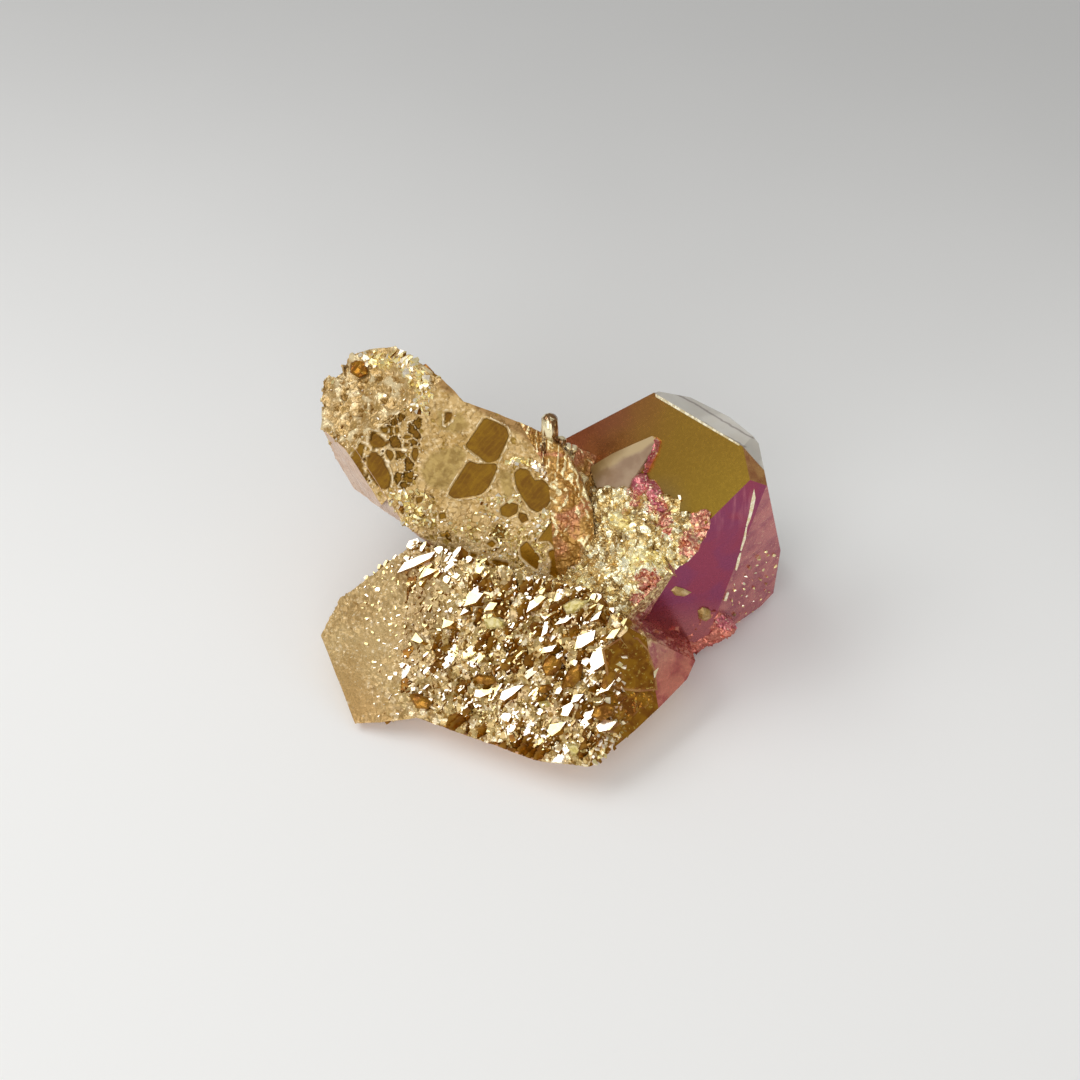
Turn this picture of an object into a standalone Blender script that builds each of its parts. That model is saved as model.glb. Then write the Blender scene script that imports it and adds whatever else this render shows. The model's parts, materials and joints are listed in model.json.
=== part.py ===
"""Aura quartz cluster: three large quartz points grown together with their druzy crust, as one solid.

Run it with  blender --background --python part.py, or from Blender's text editor. Metres, +Z up.
The cluster lies on a surface. It is drawn in millimetres about a working origin, planed flat where it rests,
and then set with the centre of its footprint box at the origin.
"""

import math
import random

import bmesh
import bpy
from mathutils import Euler, Matrix, Quaternion, Vector
from mathutils.bvhtree import BVHTree

MM = 0.001
NODE_NAME = "quartz_cluster"
COLLECTION_NAME = "Aura quartz cluster"
HELPER_COLLECTION_NAME = "Growths and cutters"
COATED_QUARTZ = {"colour": (0.52, 0.36, 0.16, 1.0), "metallic": 0.35, "roughness": 0.3}
BLOCK_SIDE = 120.0  # a rough block that every large point is planed from
FLOOR_CUT_DEPTH = 60.0
FLOOR_CUT_SIDE = 240.0
TRIES_PER_POINT = 40
GROW_SEED = 41

# Each large point is planed from the block. A facet is (azimuth, elevation, distance): the direction that it
# faces, in degrees round from +X and up from level, and how far it lies from the point's centre, in mm.
WINDOW_POINT_CENTRE = (-10.0, 6.0, 20.0)
WINDOW_POINT_FACETS = {
    "window_face": (-95, 34, 5.1),
    "worn_tip_face": (-144, 56, 11.4),
    "upper_side": (65, 34, 7.4),
    "tip_cut": (125, 28, 14.5),
    "left_lower": (-174, -28, 15.2),
    "left_under": (-153, -45, 12.0),
    "clear_band": (-140, -7, 11.2),
    "band_foot": (-132, -30, 11.0),
    "underside": (-120, -58, 12.4),
    "back_side": (84, -4, 9.6),
    "back_underside": (72, -55, 11.5),
    "fan_face": (-45, 46, 10.5),
    "buried_end": (-8, -10, 21.0),
}
WORN_TIP_CENTRE = (-20.0, 10.0, 26.0)
WORN_TIP_FACETS = {
    "worn_tip_face": (-144, 56, 3.3),
    "window_side": (-96, 33, 4.2),
    "left_top": (133, 22, 10.0),
    "top": (92, 30, 8.6),
    "right_top": (45, 21, 7.0),
    "right": (40, 17, 7.3),
    "left_end": (180, -14, 8.9),
    "clear_band": (-140, -7, 7.8),
    "left_lower": (-174, -28, 9.9),
    "left_under": (-153, -45, 11.9),
    "band_foot": (-132, -30, 10.8),
    "under": (60, -60, 9.0),
    "buried_end": (-30, -30, 7.0),
}
FROSTED_END_CENTRE = (-22.0, -15.0, 7.0)
FROSTED_END_FACETS = {
    "frosted_face": (-123, 51, 0.0),
    "sparkle_side": (-114, 53, 0.2),
    "far_left": (150, 8, 7.8),
    "near_left": (-167, -24, 6.2),
    "under_front": (-61, -62, 7.9),
    "top_slope": (124, 19, 8.6),
    "buried_end": (-10, 5, 8.0),
    "back": (70, 0, 12.0),
}
SPARKLE_POINT_CENTRE = (-2.0, -17.0, 8.0)
SPARKLE_POINT_FACETS = {
    "sparkle_face": (-114, 53, 3.4),
    "frosted_side": (-123, 51, 4.8),
    "left_top": (127, 23, 20.6),
    "front_under_left": (-113, -59, 9.7),
    "front_under": (-89, -60, 10.4),
    "front_under_right": (-42, -47, 13.6),
    "right_under": (-38, -40, 14.9),
    "right_end": (-15, -26, 19.7),
    "amber_face": (-53, 36, 11.6),
    "pink_face": (-44, 34, 13.1),
    "crust_side": (38, 43, 12.6),
    "top_slope": (72, 43, 10.8),
    "back_wall": (88, -8, 18.0),
    "left_end": (170, 2, 21.0),
}
RIGHT_POINT_CENTRE = (18.0, 0.0, 15.0)
RIGHT_POINT_FACETS = {
    "olive_tip_face": (-143, 43, 8.7),
    "front_prism": (-72, 4, 9.6),
    "front_right_prism": (-50, -2, 10.7),
    "right_prism": (5, 12, 13.2),
    "right_lower_prism": (5, -1, 14.2),
    "right_under": (-29, -36, 18.0),
    "front_under": (-50, -46, 17.0),
    "clear_top": (80, 78, 17.5),
    "far_left_side": (110, 25, 15.6),
    "far_side": (75, 27, 14.9),
    "far_middle_side": (52, 23, 13.3),
    "far_right_side": (37, 17, 12.3),
    "tip_right_sliver": (-20, 48, 18.8),
    "back_prism": (100, -8, 13.5),
    "back_break": (95, -50, 14.5),
    "buried_end": (-165, -8, 12.0),
}
MOUND_CENTRE = (10.0, -8.0, 14.0)
MOUND_FACETS = {
    "lower_slope": (-97, 52, 5.9),
    "upper_slope": (-135, 53, 4.6),
    "right_front": (-45, -10, 6.1),
    "right_end": (-28, 3, 7.8),
    "left_slope": (-175, 47, 4.0),
    "back": (71, 46, 12.3),
    "back_wall": (96, -12, 15.0),
    "back_left_wall": (140, -6, 17.0),
    "back_right_wall": (40, -8, 14.5),
    "left_end": (170, 10, 14.0),
    "under": (-90, -80, 12.0),
}


# Flat-floored hollows that etching left in the window face: where the middle lies, length up the slope, width
# across it, and the share of each of two corners that is cropped off.
WINDOW_DEPTH = 0.7
WINDOW_CUTTER_RISE = 3.0  # how far its cutter stands out of the face
WINDOW_TURN = 66.0  # degrees from level to the long sides, which follow the crystal's own directions
WINDOW_END_TURN = -8.0  # degrees from level to the short sides
WINDOWS = [
    {"middle": (3.4, 5.0), "length": 5.4, "width": 4.0, "crop": 0.35},
    {"middle": (1.4, -0.4), "length": 5.0, "width": 4.6, "crop": 0.2},
    {"middle": (9.4, -0.9), "length": 4.6, "width": 2.6, "crop": 0.5},
    {"middle": (-13.2, 1.3), "length": 4.6, "width": 1.9, "crop": 0.1},
    {"middle": (-10.4, 0.1), "length": 3.8, "width": 3.0, "crop": 0.5},
    {"middle": (-11.5, 3.9), "length": 1.8, "width": 1.7, "crop": 0.2},
    {"middle": (-9.4, 2.7), "length": 1.5, "width": 1.1, "crop": 0.4},
    {"middle": (-6.2, 2.6), "length": 2.4, "width": 0.9, "crop": 0.5},
    {"middle": (-7.2, 5.2), "length": 1.0, "width": 1.5, "crop": 0.4},
    {"middle": (-4.6, 4.2), "length": 1.1, "width": 1.2, "crop": 0.3},
    {"middle": (12.0, -7.0), "length": 3.2, "width": 1.8, "crop": 0.6},
    {"middle": (9.8, -10.3), "length": 3.2, "width": 1.9, "crop": 0.2},
    {"middle": (13.2, -10.3), "length": 3.4, "width": 1.3, "crop": 0.5},
    {"middle": (5.9, -4.4), "length": 1.8, "width": 1.2, "crop": 0.5},
    {"middle": (7.6, -3.9), "length": 1.1, "width": 1.0, "crop": 0.5},
    {"middle": (4.6, -8.6), "length": 1.2, "width": 1.2, "crop": 0.5},
    {"middle": (5.2, -11.4), "length": 1.0, "width": 1.4, "crop": 0.4},
    {"middle": (-3.2, -5.2), "length": 1.2, "width": 1.5, "crop": 0.4},
]
PIT_DEPTH = 0.55
PIT_SPACING = 1.3
PIT_BOTTOM = 0.4  # shares of a pit's radius at its bottom and at the cutter's mouth
PIT_MOUTH = 1.6
PIT_ZONES = [  # rough etched ground: its outline on the window face, how many pits, and their radii
    {
        "outline": [(-5, -9), (0, -4), (8, -3), (14, -6), (15, -13), (5, -12)],
        "count": 34,
        "radii": (0.35, 0.75),
    },
    {
        "outline": [(-14, -2), (-8, -2), (-3, 8), (-9, 9), (-16, 5)],
        "count": 16,
        "radii": (0.3, 0.6),
    },
]

# Stepped blocks on the sparkle face all share three directions, so that their treads flash together.
STEP_TREAD = (-147, 71)
STEP_RISER = (-41, 5)
STEP_WOBBLE = 5.0  # degrees
STEP_ROOT = 1.6  # how far a block reaches below the face that it stands on
STEP_ZONES = [
    {
        "outline": [(-0.5, -10.8), (9.5, -10), (13.4, -6), (14.4, 6), (9.5, 9.8), (1, 10.4), (0, 0)],
        "spacing": 1.45,
        "count": 118,
        "lengths": (1.8, 3.6),
        "widths": (0.9, 1.9),
        "heights": (0.35, 1.0),
    },
    {
        "outline": [(-12, -11), (-0.5, -10.8), (1, 10.4), (-8, 9.8), (-18, 8.6), (-20.5, 3), (-15, -3)],
        "spacing": 1.5,
        "count": 92,
        "lengths": (1.3, 2.9),
        "widths": (0.7, 1.5),
        "heights": (0.25, 0.7),
    },
]

# Druzy grains, scattered on a facet and dropped on whatever lies under it.
GRAIN_TILT = 38.0  # degrees
GRAIN_DROP = 6.0  # the height above its facet that each grain is dropped from
GRAIN_SIDE = 1.5  # the cube's side, as a share of the grain's radius
GRAIN_SINK = 0.6  # the share of its radius that a grain's middle lies below the surface
GRAIN_ZONES = [
    {
        "on": "crust_upper_slope",
        "outline": [(-8, 9.3), (4.8, 13.6), (8.2, 13.9), (8, 5.6), (-1, 1), (-6, 4)],
        "spacing": 1.35,
        "count": 46,
        "radii": (0.9, 1.7),
    },
    {
        "on": "crust_lower_slope",
        "outline": [(-5, -1.5), (4.2, -7.6), (7.5, 1.5), (3, 3), (-2.6, 8.4)],
        "spacing": 1.35,
        "count": 36,
        "radii": (0.9, 1.6),
    },
    {
        "on": "worn_tip_face",
        "outline": [(-9, -2.6), (-9, 1.0), (-3.8, 6.2), (1.5, 7.2), (6, 7), (3, 5), (-3, -6.4)],
        "spacing": 1.5,
        "count": 42,
        "radii": (0.9, 1.7),
    },
    {
        "on": "front_right_prism",
        "outline": [(1.5, -3), (6.5, 1.5), (9.5, -6), (8, -13), (3.4, -14)],
        "spacing": 1.6,
        "count": 18,
        "radii": (0.5, 0.9),
    },
    {
        "on": "front_prism",
        "outline": [(-2, -11), (2.6, -8.6), (2.6, -11.5), (-2, -13)],
        "spacing": 1.2,
        "count": 8,
        "radii": (0.8, 1.3),
    },
]

# Streaked ridges that fan down the right end of the window point. All of it lies on the fan face.
FAN_TOP = (8.6, -2.4)
FAN_BOTTOM_LEFT = (0.8, -17.6)
FAN_BOTTOM_RIGHT = (9.6, -12.0)
FAN_RIDGES = 9
FAN_TOP_SPREAD = (2.0, -1.0)  # from the first ridge's top to the last one's
FAN_SHORTEST = 0.82  # the share of the way down that the shortest ridge reaches
FAN_RIDGE_WIDTHS = (0.7, 1.1)
FAN_RIDGE_TAPER = 0.4
FAN_RIDGE_SINK = 0.45

# The thin blade lies along the olive face and stands proud of it.
BLADE_OUTLINE = [(-10.9, 0.4), (-5.3, 9.8), (-4.1, 8.9), (-4.3, 5.0), (-5.8, -0.4), (-8.6, -1.6)]
BLADE_SUNK = 0.8
BLADE_PROUD = 1.3

# The worn tip has two lobes with this notch between them, drawn on the worn tip face.
NOTCH_OUTLINE = [(-12.0, -2.6), (-7.4, -0.9), (-12.0, 0.9)]
NOTCH_REACH = 3.4

# Small free-standing points: base, direction (azimuth, elevation), radius and length.
POINT_TIP = 1.2  # the pyramid's height, as a share of the radius
POINT_TAPER = 0.92
KNOB_POINTS = [
    {"base": (1.4, 5.0, 25.2), "direction": (95, 84), "radius": 1.05, "length": 5.9},
    {"base": (0.4, 4.6, 25.4), "direction": (140, 62), "radius": 1.0, "length": 2.4},
    {"base": (2.6, 5.2, 25.4), "direction": (40, 52), "radius": 0.8, "length": 2.3},
    {"base": (3.6, 5.0, 24.6), "direction": (10, 60), "radius": 0.7, "length": 1.7},
]
BACK_POINTS = [
    {"base": (-6.0, 6.0, 8.0), "direction": (112, 6), "radius": 3.6, "length": 12.0},
    {"base": (5.0, 6.0, 7.0), "direction": (84, 2), "radius": 4.2, "length": 11.0},
    {"base": (-1.0, 5.0, 12.0), "direction": (96, 24), "radius": 2.6, "length": 8.0},
    {"base": (13.0, 8.0, 5.0), "direction": (60, -2), "radius": 3.0, "length": 9.0},
    {"base": (-10.0, 2.0, 4.0), "direction": (120, 0), "radius": 3.0, "length": 9.0},
    {"base": (-12.0, 9.0, 12.0), "direction": (100, -10), "radius": 2.6, "length": 8.0},
    {"base": (16.0, 6.0, 6.0), "direction": (70, -4), "radius": 2.4, "length": 9.0},
    {"base": (4.0, 7.0, 12.0), "direction": (88, 10), "radius": 2.2, "length": 6.0},
]

EDGE_CHIPS = {"start": (6.3, 14.6), "end": (2.9, -7.6), "count": 11, "radii": (0.3, 0.55)}
WELD_DISTANCE = 1e-4


def facet_direction(azimuth, elevation):
    a, e = math.radians(azimuth), math.radians(elevation)
    return Vector((math.cos(a) * math.cos(e), math.sin(a) * math.cos(e), math.sin(e)))


class FaceFrame:
    """A facet's own frame: x runs level along it, y runs up its slope, and z stands out of it."""

    def __init__(self, centre, facet):
        azimuth, elevation, distance = facet
        self.normal = facet_direction(azimuth, elevation)
        self.across = facet_direction(azimuth + 90.0, 0.0)
        self.up = self.normal.cross(self.across)
        self.origin = Vector(centre) + self.normal * distance

    def at(self, x, y, z=0.0):
        return self.origin + self.across * x + self.up * y + self.normal * z

    def matrix(self):
        return Matrix.Translation(self.origin) @ axes_matrix(self.across, self.up, self.normal)


def axes_matrix(x_axis, y_axis, z_axis):
    return Matrix((x_axis, y_axis, z_axis)).transposed().to_4x4()


def plane_off(bm, point, normal):
    """Cuts away what lies beyond the plane, and closes the cut."""
    everything = bm.verts[:] + bm.edges[:] + bm.faces[:]
    cut = bmesh.ops.bisect_plane(
        bm, geom=everything, dist=1e-6, plane_co=point, plane_no=normal, clear_outer=True
    )
    rim = [item for item in cut["geom_cut"] if isinstance(item, bmesh.types.BMEdge)]
    if rim:
        bmesh.ops.edgenet_fill(bm, edges=rim)


def planed_point(centre, facets):
    """A large quartz point: a block with each facet planed off."""
    bm = bmesh.new()
    centre = Vector(centre)
    bmesh.ops.create_cube(bm, size=BLOCK_SIDE, matrix=Matrix.Translation(centre))
    for azimuth, elevation, distance in facets.values():
        direction = facet_direction(azimuth, elevation)
        plane_off(bm, centre + direction * distance, direction)
    bmesh.ops.recalc_face_normals(bm, faces=bm.faces)
    return bm


def quartz_point(base, direction, radius, length):
    """A small six-sided prism with a pyramid for its tip."""
    axis = facet_direction(*direction)
    turn = axis.to_track_quat("Z", "Y").to_matrix().to_4x4()
    tip_length = min(radius * POINT_TIP, length / 2)
    shank = length - tip_length
    bm = bmesh.new()
    bmesh.ops.create_cone(
        bm,
        cap_ends=True,
        segments=6,
        radius1=radius,
        radius2=radius * POINT_TAPER,
        depth=shank,
        matrix=Matrix.Translation((0.0, 0.0, shank / 2)),
    )
    top = max(bm.faces, key=lambda face: face.calc_center_median().z)
    poked = bmesh.ops.poke(bm, faces=[top])
    poked["verts"][0].co.z += tip_length
    bmesh.ops.transform(bm, matrix=Matrix.Translation(base) @ turn, verts=bm.verts)
    return bm


def prism(frame, outline, bottom, top):
    """A flat outline on a facet, given thickness along the facet's normal."""
    bm = bmesh.new()
    verts = [bm.verts.new((x, y, bottom)) for x, y in outline]
    face = bm.faces.new(verts)
    grown = bmesh.ops.extrude_face_region(bm, geom=[face])
    lifted = [item for item in grown["geom"] if isinstance(item, bmesh.types.BMVert)]
    bmesh.ops.translate(bm, vec=(0.0, 0.0, top - bottom), verts=lifted)
    bmesh.ops.recalc_face_normals(bm, faces=bm.faces)
    bmesh.ops.transform(bm, matrix=frame.matrix(), verts=bm.verts)
    return bm


def window_outline(window):
    """A slanted four-sided window with two opposite corners cropped."""
    side = Vector((math.cos(math.radians(WINDOW_TURN)), math.sin(math.radians(WINDOW_TURN))))
    end = Vector((math.cos(math.radians(WINDOW_END_TURN)), math.sin(math.radians(WINDOW_END_TURN))))
    middle = Vector(window["middle"])
    half_side = side * window["length"] / 2
    half_end = end * window["width"] / 2
    crop = window["crop"]
    corners = [
        -half_side - half_end,
        -half_side + half_end * (1 - crop),
        -half_side * (1 - crop) + half_end,
        half_side + half_end,
        half_side - half_end * (1 - crop),
        half_side * (1 - crop) - half_end,
    ]
    return [tuple(middle + corner) for corner in corners]


def inside(outline, x, y):
    """Whether a point lies inside an outline, by counting the sides crossed."""
    crossed = False
    for (x1, y1), (x2, y2) in zip(outline, outline[1:] + outline[:1]):
        if (y1 > y) != (y2 > y) and x < (x2 - x1) * (y - y1) / (y2 - y1) + x1:
            crossed = not crossed
    return crossed


def scatter(rng, outline, count, spacing):
    """Up to count points in the outline, none nearer to another than the spacing."""
    left, right = min(x for x, y in outline), max(x for x, y in outline)
    low, high = min(y for x, y in outline), max(y for x, y in outline)
    points = []
    for attempt in range(count * TRIES_PER_POINT):
        x, y = rng.uniform(left, right), rng.uniform(low, high)
        if len(points) == count:
            break
        if inside(outline, x, y) and all(math.dist((x, y), point) > spacing for point in points):
            points.append((x, y))
    return points


def stepped_block(rng, corner, zone):
    """A block whose highest corner stands out of the sparkle face, and whose far end sinks into it."""
    tread = facet_direction(*STEP_TREAD)
    along = tread.cross(facet_direction(*STEP_RISER)).normalized()
    riser = along.cross(tread)
    wobble = Euler([math.radians(rng.uniform(-STEP_WOBBLE, STEP_WOBBLE)) for axis in "XYZ"])
    turn = wobble.to_matrix().to_4x4() @ axes_matrix(riser, along, tread)
    width = rng.uniform(*zone["widths"])
    length = rng.uniform(*zone["lengths"])
    depth = rng.uniform(*zone["heights"]) + STEP_ROOT
    middle = Matrix.Translation((-width / 2, length / 2, -depth / 2))
    size = Matrix.Diagonal((width, length, depth, 1.0))
    bm = bmesh.new()
    bmesh.ops.create_cube(bm, size=1.0, matrix=Matrix.Translation(corner) @ turn @ middle @ size)
    return bm


def grain(rng, point, outward, radius):
    """A druzy grain: a cube standing on its corner, so that three faces meet in a point."""
    tilt = math.radians(rng.uniform(0.0, GRAIN_TILT))
    sideways = outward.orthogonal().normalized()
    sideways.rotate(Quaternion(outward, rng.uniform(0.0, math.tau)))
    axis = outward.copy()
    axis.rotate(Quaternion(sideways, tilt))
    corner_up = Vector((1.0, 1.0, 1.0)).rotation_difference(axis).to_matrix().to_4x4()
    spin = Matrix.Rotation(rng.uniform(0.0, math.tau), 4, axis)
    middle = Matrix.Translation(point - outward * radius * GRAIN_SINK)
    bm = bmesh.new()
    bmesh.ops.create_cube(bm, size=radius * GRAIN_SIDE, matrix=middle @ spin @ corner_up)
    return bm


def spike(start, end, radius_start, radius_end):
    """A tapered four-sided spike between two points."""
    run = end - start
    turn = run.to_track_quat("Z", "Y").to_matrix().to_4x4()
    bm = bmesh.new()
    bmesh.ops.create_cone(
        bm,
        cap_ends=True,
        segments=4,
        radius1=radius_start,
        radius2=radius_end,
        depth=run.length,
        matrix=Matrix.Translation((start + end) / 2) @ turn,
    )
    return bm


def as_object(name, bm, collection):
    mesh = bpy.data.meshes.new(name)
    bm.to_mesh(mesh)
    bm.free()
    obj = bpy.data.objects.new(name, mesh)
    collection.objects.link(obj)
    return obj


def combine(base, collection, operation):
    """Joins everything in the collection to the base, or cuts it away, and keeps the result as its mesh."""
    modifier = base.modifiers.new("combine", "BOOLEAN")
    modifier.operation = operation
    modifier.operand_type = "COLLECTION"
    modifier.collection = collection
    modifier.solver = "EXACT"
    depsgraph = bpy.context.evaluated_depsgraph_get()
    result = bpy.data.meshes.new_from_object(base.evaluated_get(depsgraph))
    base.modifiers.remove(modifier)
    old = base.data
    base.data = result
    bpy.data.meshes.remove(old)
    for obj in list(collection.objects):
        bpy.data.objects.remove(obj)


def facet_frames():
    return {
        "window_face": FaceFrame(WINDOW_POINT_CENTRE, WINDOW_POINT_FACETS["window_face"]),
        "fan_face": FaceFrame(WINDOW_POINT_CENTRE, WINDOW_POINT_FACETS["fan_face"]),
        "worn_tip_face": FaceFrame(WORN_TIP_CENTRE, WORN_TIP_FACETS["worn_tip_face"]),
        "sparkle_face": FaceFrame(SPARKLE_POINT_CENTRE, SPARKLE_POINT_FACETS["sparkle_face"]),
        "olive_tip_face": FaceFrame(RIGHT_POINT_CENTRE, RIGHT_POINT_FACETS["olive_tip_face"]),
        "front_prism": FaceFrame(RIGHT_POINT_CENTRE, RIGHT_POINT_FACETS["front_prism"]),
        "front_right_prism": FaceFrame(RIGHT_POINT_CENTRE, RIGHT_POINT_FACETS["front_right_prism"]),
        "crust_lower_slope": FaceFrame(MOUND_CENTRE, MOUND_FACETS["lower_slope"]),
        "crust_upper_slope": FaceFrame(MOUND_CENTRE, MOUND_FACETS["upper_slope"]),
    }


def grow_large_points(collection):
    as_object("worn_tip", planed_point(WORN_TIP_CENTRE, WORN_TIP_FACETS), collection)
    as_object("frosted_end", planed_point(FROSTED_END_CENTRE, FROSTED_END_FACETS), collection)
    as_object("sparkle_point", planed_point(SPARKLE_POINT_CENTRE, SPARKLE_POINT_FACETS), collection)
    as_object("right_point", planed_point(RIGHT_POINT_CENTRE, RIGHT_POINT_FACETS), collection)
    as_object("mound", planed_point(MOUND_CENTRE, MOUND_FACETS), collection)
    for number, point in enumerate(BACK_POINTS):
        as_object(f"back_point_{number}", quartz_point(**point), collection)


def etch(collection, frames, rng):
    """Cuts the window face's hollows and pits, the worn tip's notch, and the flat that it all rests on."""
    face = frames["window_face"]
    for number, window in enumerate(WINDOWS):
        cutter = prism(face, window_outline(window), -WINDOW_DEPTH, WINDOW_CUTTER_RISE)
        as_object(f"window_{number}", cutter, collection)
    for zone in PIT_ZONES:
        for x, y in scatter(rng, zone["outline"], zone["count"], PIT_SPACING):
            radius = rng.uniform(*zone["radii"])
            bottom, mouth = face.at(x, y, -PIT_DEPTH), face.at(x, y, PIT_DEPTH)
            as_object("pit", spike(bottom, mouth, radius * PIT_BOTTOM, radius * PIT_MOUTH), collection)
    tip = frames["worn_tip_face"]
    as_object("notch", prism(tip, NOTCH_OUTLINE, -NOTCH_REACH, NOTCH_REACH), collection)
    floor = bmesh.new()
    flatten = Matrix.Diagonal((FLOOR_CUT_SIDE, FLOOR_CUT_SIDE, FLOOR_CUT_DEPTH, 1.0))
    below = Matrix.Translation((0.0, 0.0, -FLOOR_CUT_DEPTH / 2)) @ flatten
    bmesh.ops.create_cube(floor, size=1.0, matrix=below)
    as_object("floor_cut", floor, collection)


def grow_steps(collection, frames, rng):
    face = frames["sparkle_face"]
    for zone in STEP_ZONES:
        for x, y in scatter(rng, zone["outline"], zone["count"], zone["spacing"]):
            height = rng.uniform(*zone["heights"])
            as_object("step", stepped_block(rng, face.at(x, y, height), zone), collection)


def grow_grains(collection, frames, rng, skin):
    for zone in GRAIN_ZONES:
        face = frames[zone["on"]]
        for x, y in scatter(rng, zone["outline"], zone["count"], zone["spacing"]):
            point, outward, index, distance = skin.ray_cast(face.at(x, y, GRAIN_DROP), -face.normal)
            if point is None:
                continue
            radius = rng.uniform(*zone["radii"])
            as_object("grain", grain(rng, point, outward, radius), collection)


def grow_details(collection, frames, rng):
    """The streaked fan, the blade, the knob and the chips along the edge of the right point."""
    fan = frames["fan_face"]
    for number in range(FAN_RIDGES):
        share = number / (FAN_RIDGES - 1)
        top = Vector(FAN_TOP) + Vector(FAN_TOP_SPREAD) * share
        foot = Vector(FAN_BOTTOM_LEFT).lerp(Vector(FAN_BOTTOM_RIGHT), share) * rng.uniform(FAN_SHORTEST, 1.0)
        start = fan.at(top.x, top.y, -FAN_RIDGE_SINK)
        end = fan.at(foot.x, foot.y, -FAN_RIDGE_SINK)
        width = rng.uniform(*FAN_RIDGE_WIDTHS)
        as_object("ridge", spike(start, end, width * FAN_RIDGE_TAPER, width), collection)
    olive = frames["olive_tip_face"]
    as_object("blade", prism(olive, BLADE_OUTLINE, -BLADE_SUNK, BLADE_PROUD), collection)
    for point in KNOB_POINTS:
        as_object("knob", quartz_point(**point), collection)
    prism_face = frames["front_prism"]
    start, end = Vector(EDGE_CHIPS["start"]), Vector(EDGE_CHIPS["end"])
    for number in range(EDGE_CHIPS["count"]):
        place = start.lerp(end, (number + rng.uniform(0.0, 0.6)) / EDGE_CHIPS["count"])
        radius = rng.uniform(*EDGE_CHIPS["radii"])
        as_object("chip", grain(rng, prism_face.at(*place), prism_face.normal, radius), collection)


def surface_tree(obj):
    bm = bmesh.new()
    bm.from_mesh(obj.data)
    tree = BVHTree.FromBMesh(bm)
    bm.free()
    return tree


def bodies(bm):
    """The mesh's separate bodies, each a set of its points, largest first."""
    found = []
    left = set(bm.verts)
    while left:
        start = left.pop()
        body = {start}
        front = [start]
        while front:
            vert = front.pop()
            for edge in vert.link_edges:
                other = edge.other_vert(vert)
                if other in left:
                    left.remove(other)
                    body.add(other)
                    front.append(other)
        found.append(body)
    return sorted(found, key=len, reverse=True)


def tidy_and_place(obj):
    """Drops crumbs that touch nothing, turns millimetres into metres and centres the footprint."""
    bm = bmesh.new()
    bm.from_mesh(obj.data)
    bmesh.ops.remove_doubles(bm, verts=bm.verts, dist=WELD_DISTANCE)
    crumbs = [vert for body in bodies(bm)[1:] for vert in body]
    bmesh.ops.delete(bm, geom=crumbs, context="VERTS")
    bmesh.ops.dissolve_degenerate(bm, edges=bm.edges, dist=WELD_DISTANCE)
    bmesh.ops.triangulate(bm, faces=bm.faces)
    xs = [vert.co.x for vert in bm.verts]
    ys = [vert.co.y for vert in bm.verts]
    lowest = min(vert.co.z for vert in bm.verts)
    middle = Vector(((min(xs) + max(xs)) / 2, (min(ys) + max(ys)) / 2, lowest))
    bmesh.ops.transform(bm, matrix=Matrix.Scale(MM, 4) @ Matrix.Translation(-middle), verts=bm.verts)
    bm.to_mesh(obj.data)
    bm.free()


def coated_quartz():
    material = bpy.data.materials.new("Coated quartz")
    material.use_nodes = True
    shader = material.node_tree.nodes["Principled BSDF"]
    shader.inputs["Base Color"].default_value = COATED_QUARTZ["colour"]
    shader.inputs["Metallic"].default_value = COATED_QUARTZ["metallic"]
    shader.inputs["Roughness"].default_value = COATED_QUARTZ["roughness"]
    return material


def main():
    for obj in list(bpy.data.objects):
        bpy.data.objects.remove(obj)
    rng = random.Random(GROW_SEED)
    cluster = bpy.data.collections.new(COLLECTION_NAME)
    helpers = bpy.data.collections.new(HELPER_COLLECTION_NAME)
    bpy.context.scene.collection.children.link(cluster)
    bpy.context.scene.collection.children.link(helpers)
    frames = facet_frames()
    node = as_object(NODE_NAME, planed_point(WINDOW_POINT_CENTRE, WINDOW_POINT_FACETS), cluster)
    grow_large_points(helpers)
    combine(node, helpers, "UNION")
    etch(helpers, frames, rng)
    combine(node, helpers, "DIFFERENCE")
    skin = surface_tree(node)
    grow_steps(helpers, frames, rng)
    grow_grains(helpers, frames, rng, skin)
    grow_details(helpers, frames, rng)
    combine(node, helpers, "UNION")
    tidy_and_place(node)
    node.data.materials.clear()
    node.data.materials.append(coated_quartz())
    bpy.data.collections.remove(helpers)


main()
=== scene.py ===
import json
import math

import bmesh
import bpy
import numpy as np
from mathutils import Matrix, Vector
from mathutils.geometry import delaunay_2d_cdt
from mathutils.kdtree import KDTree

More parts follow.
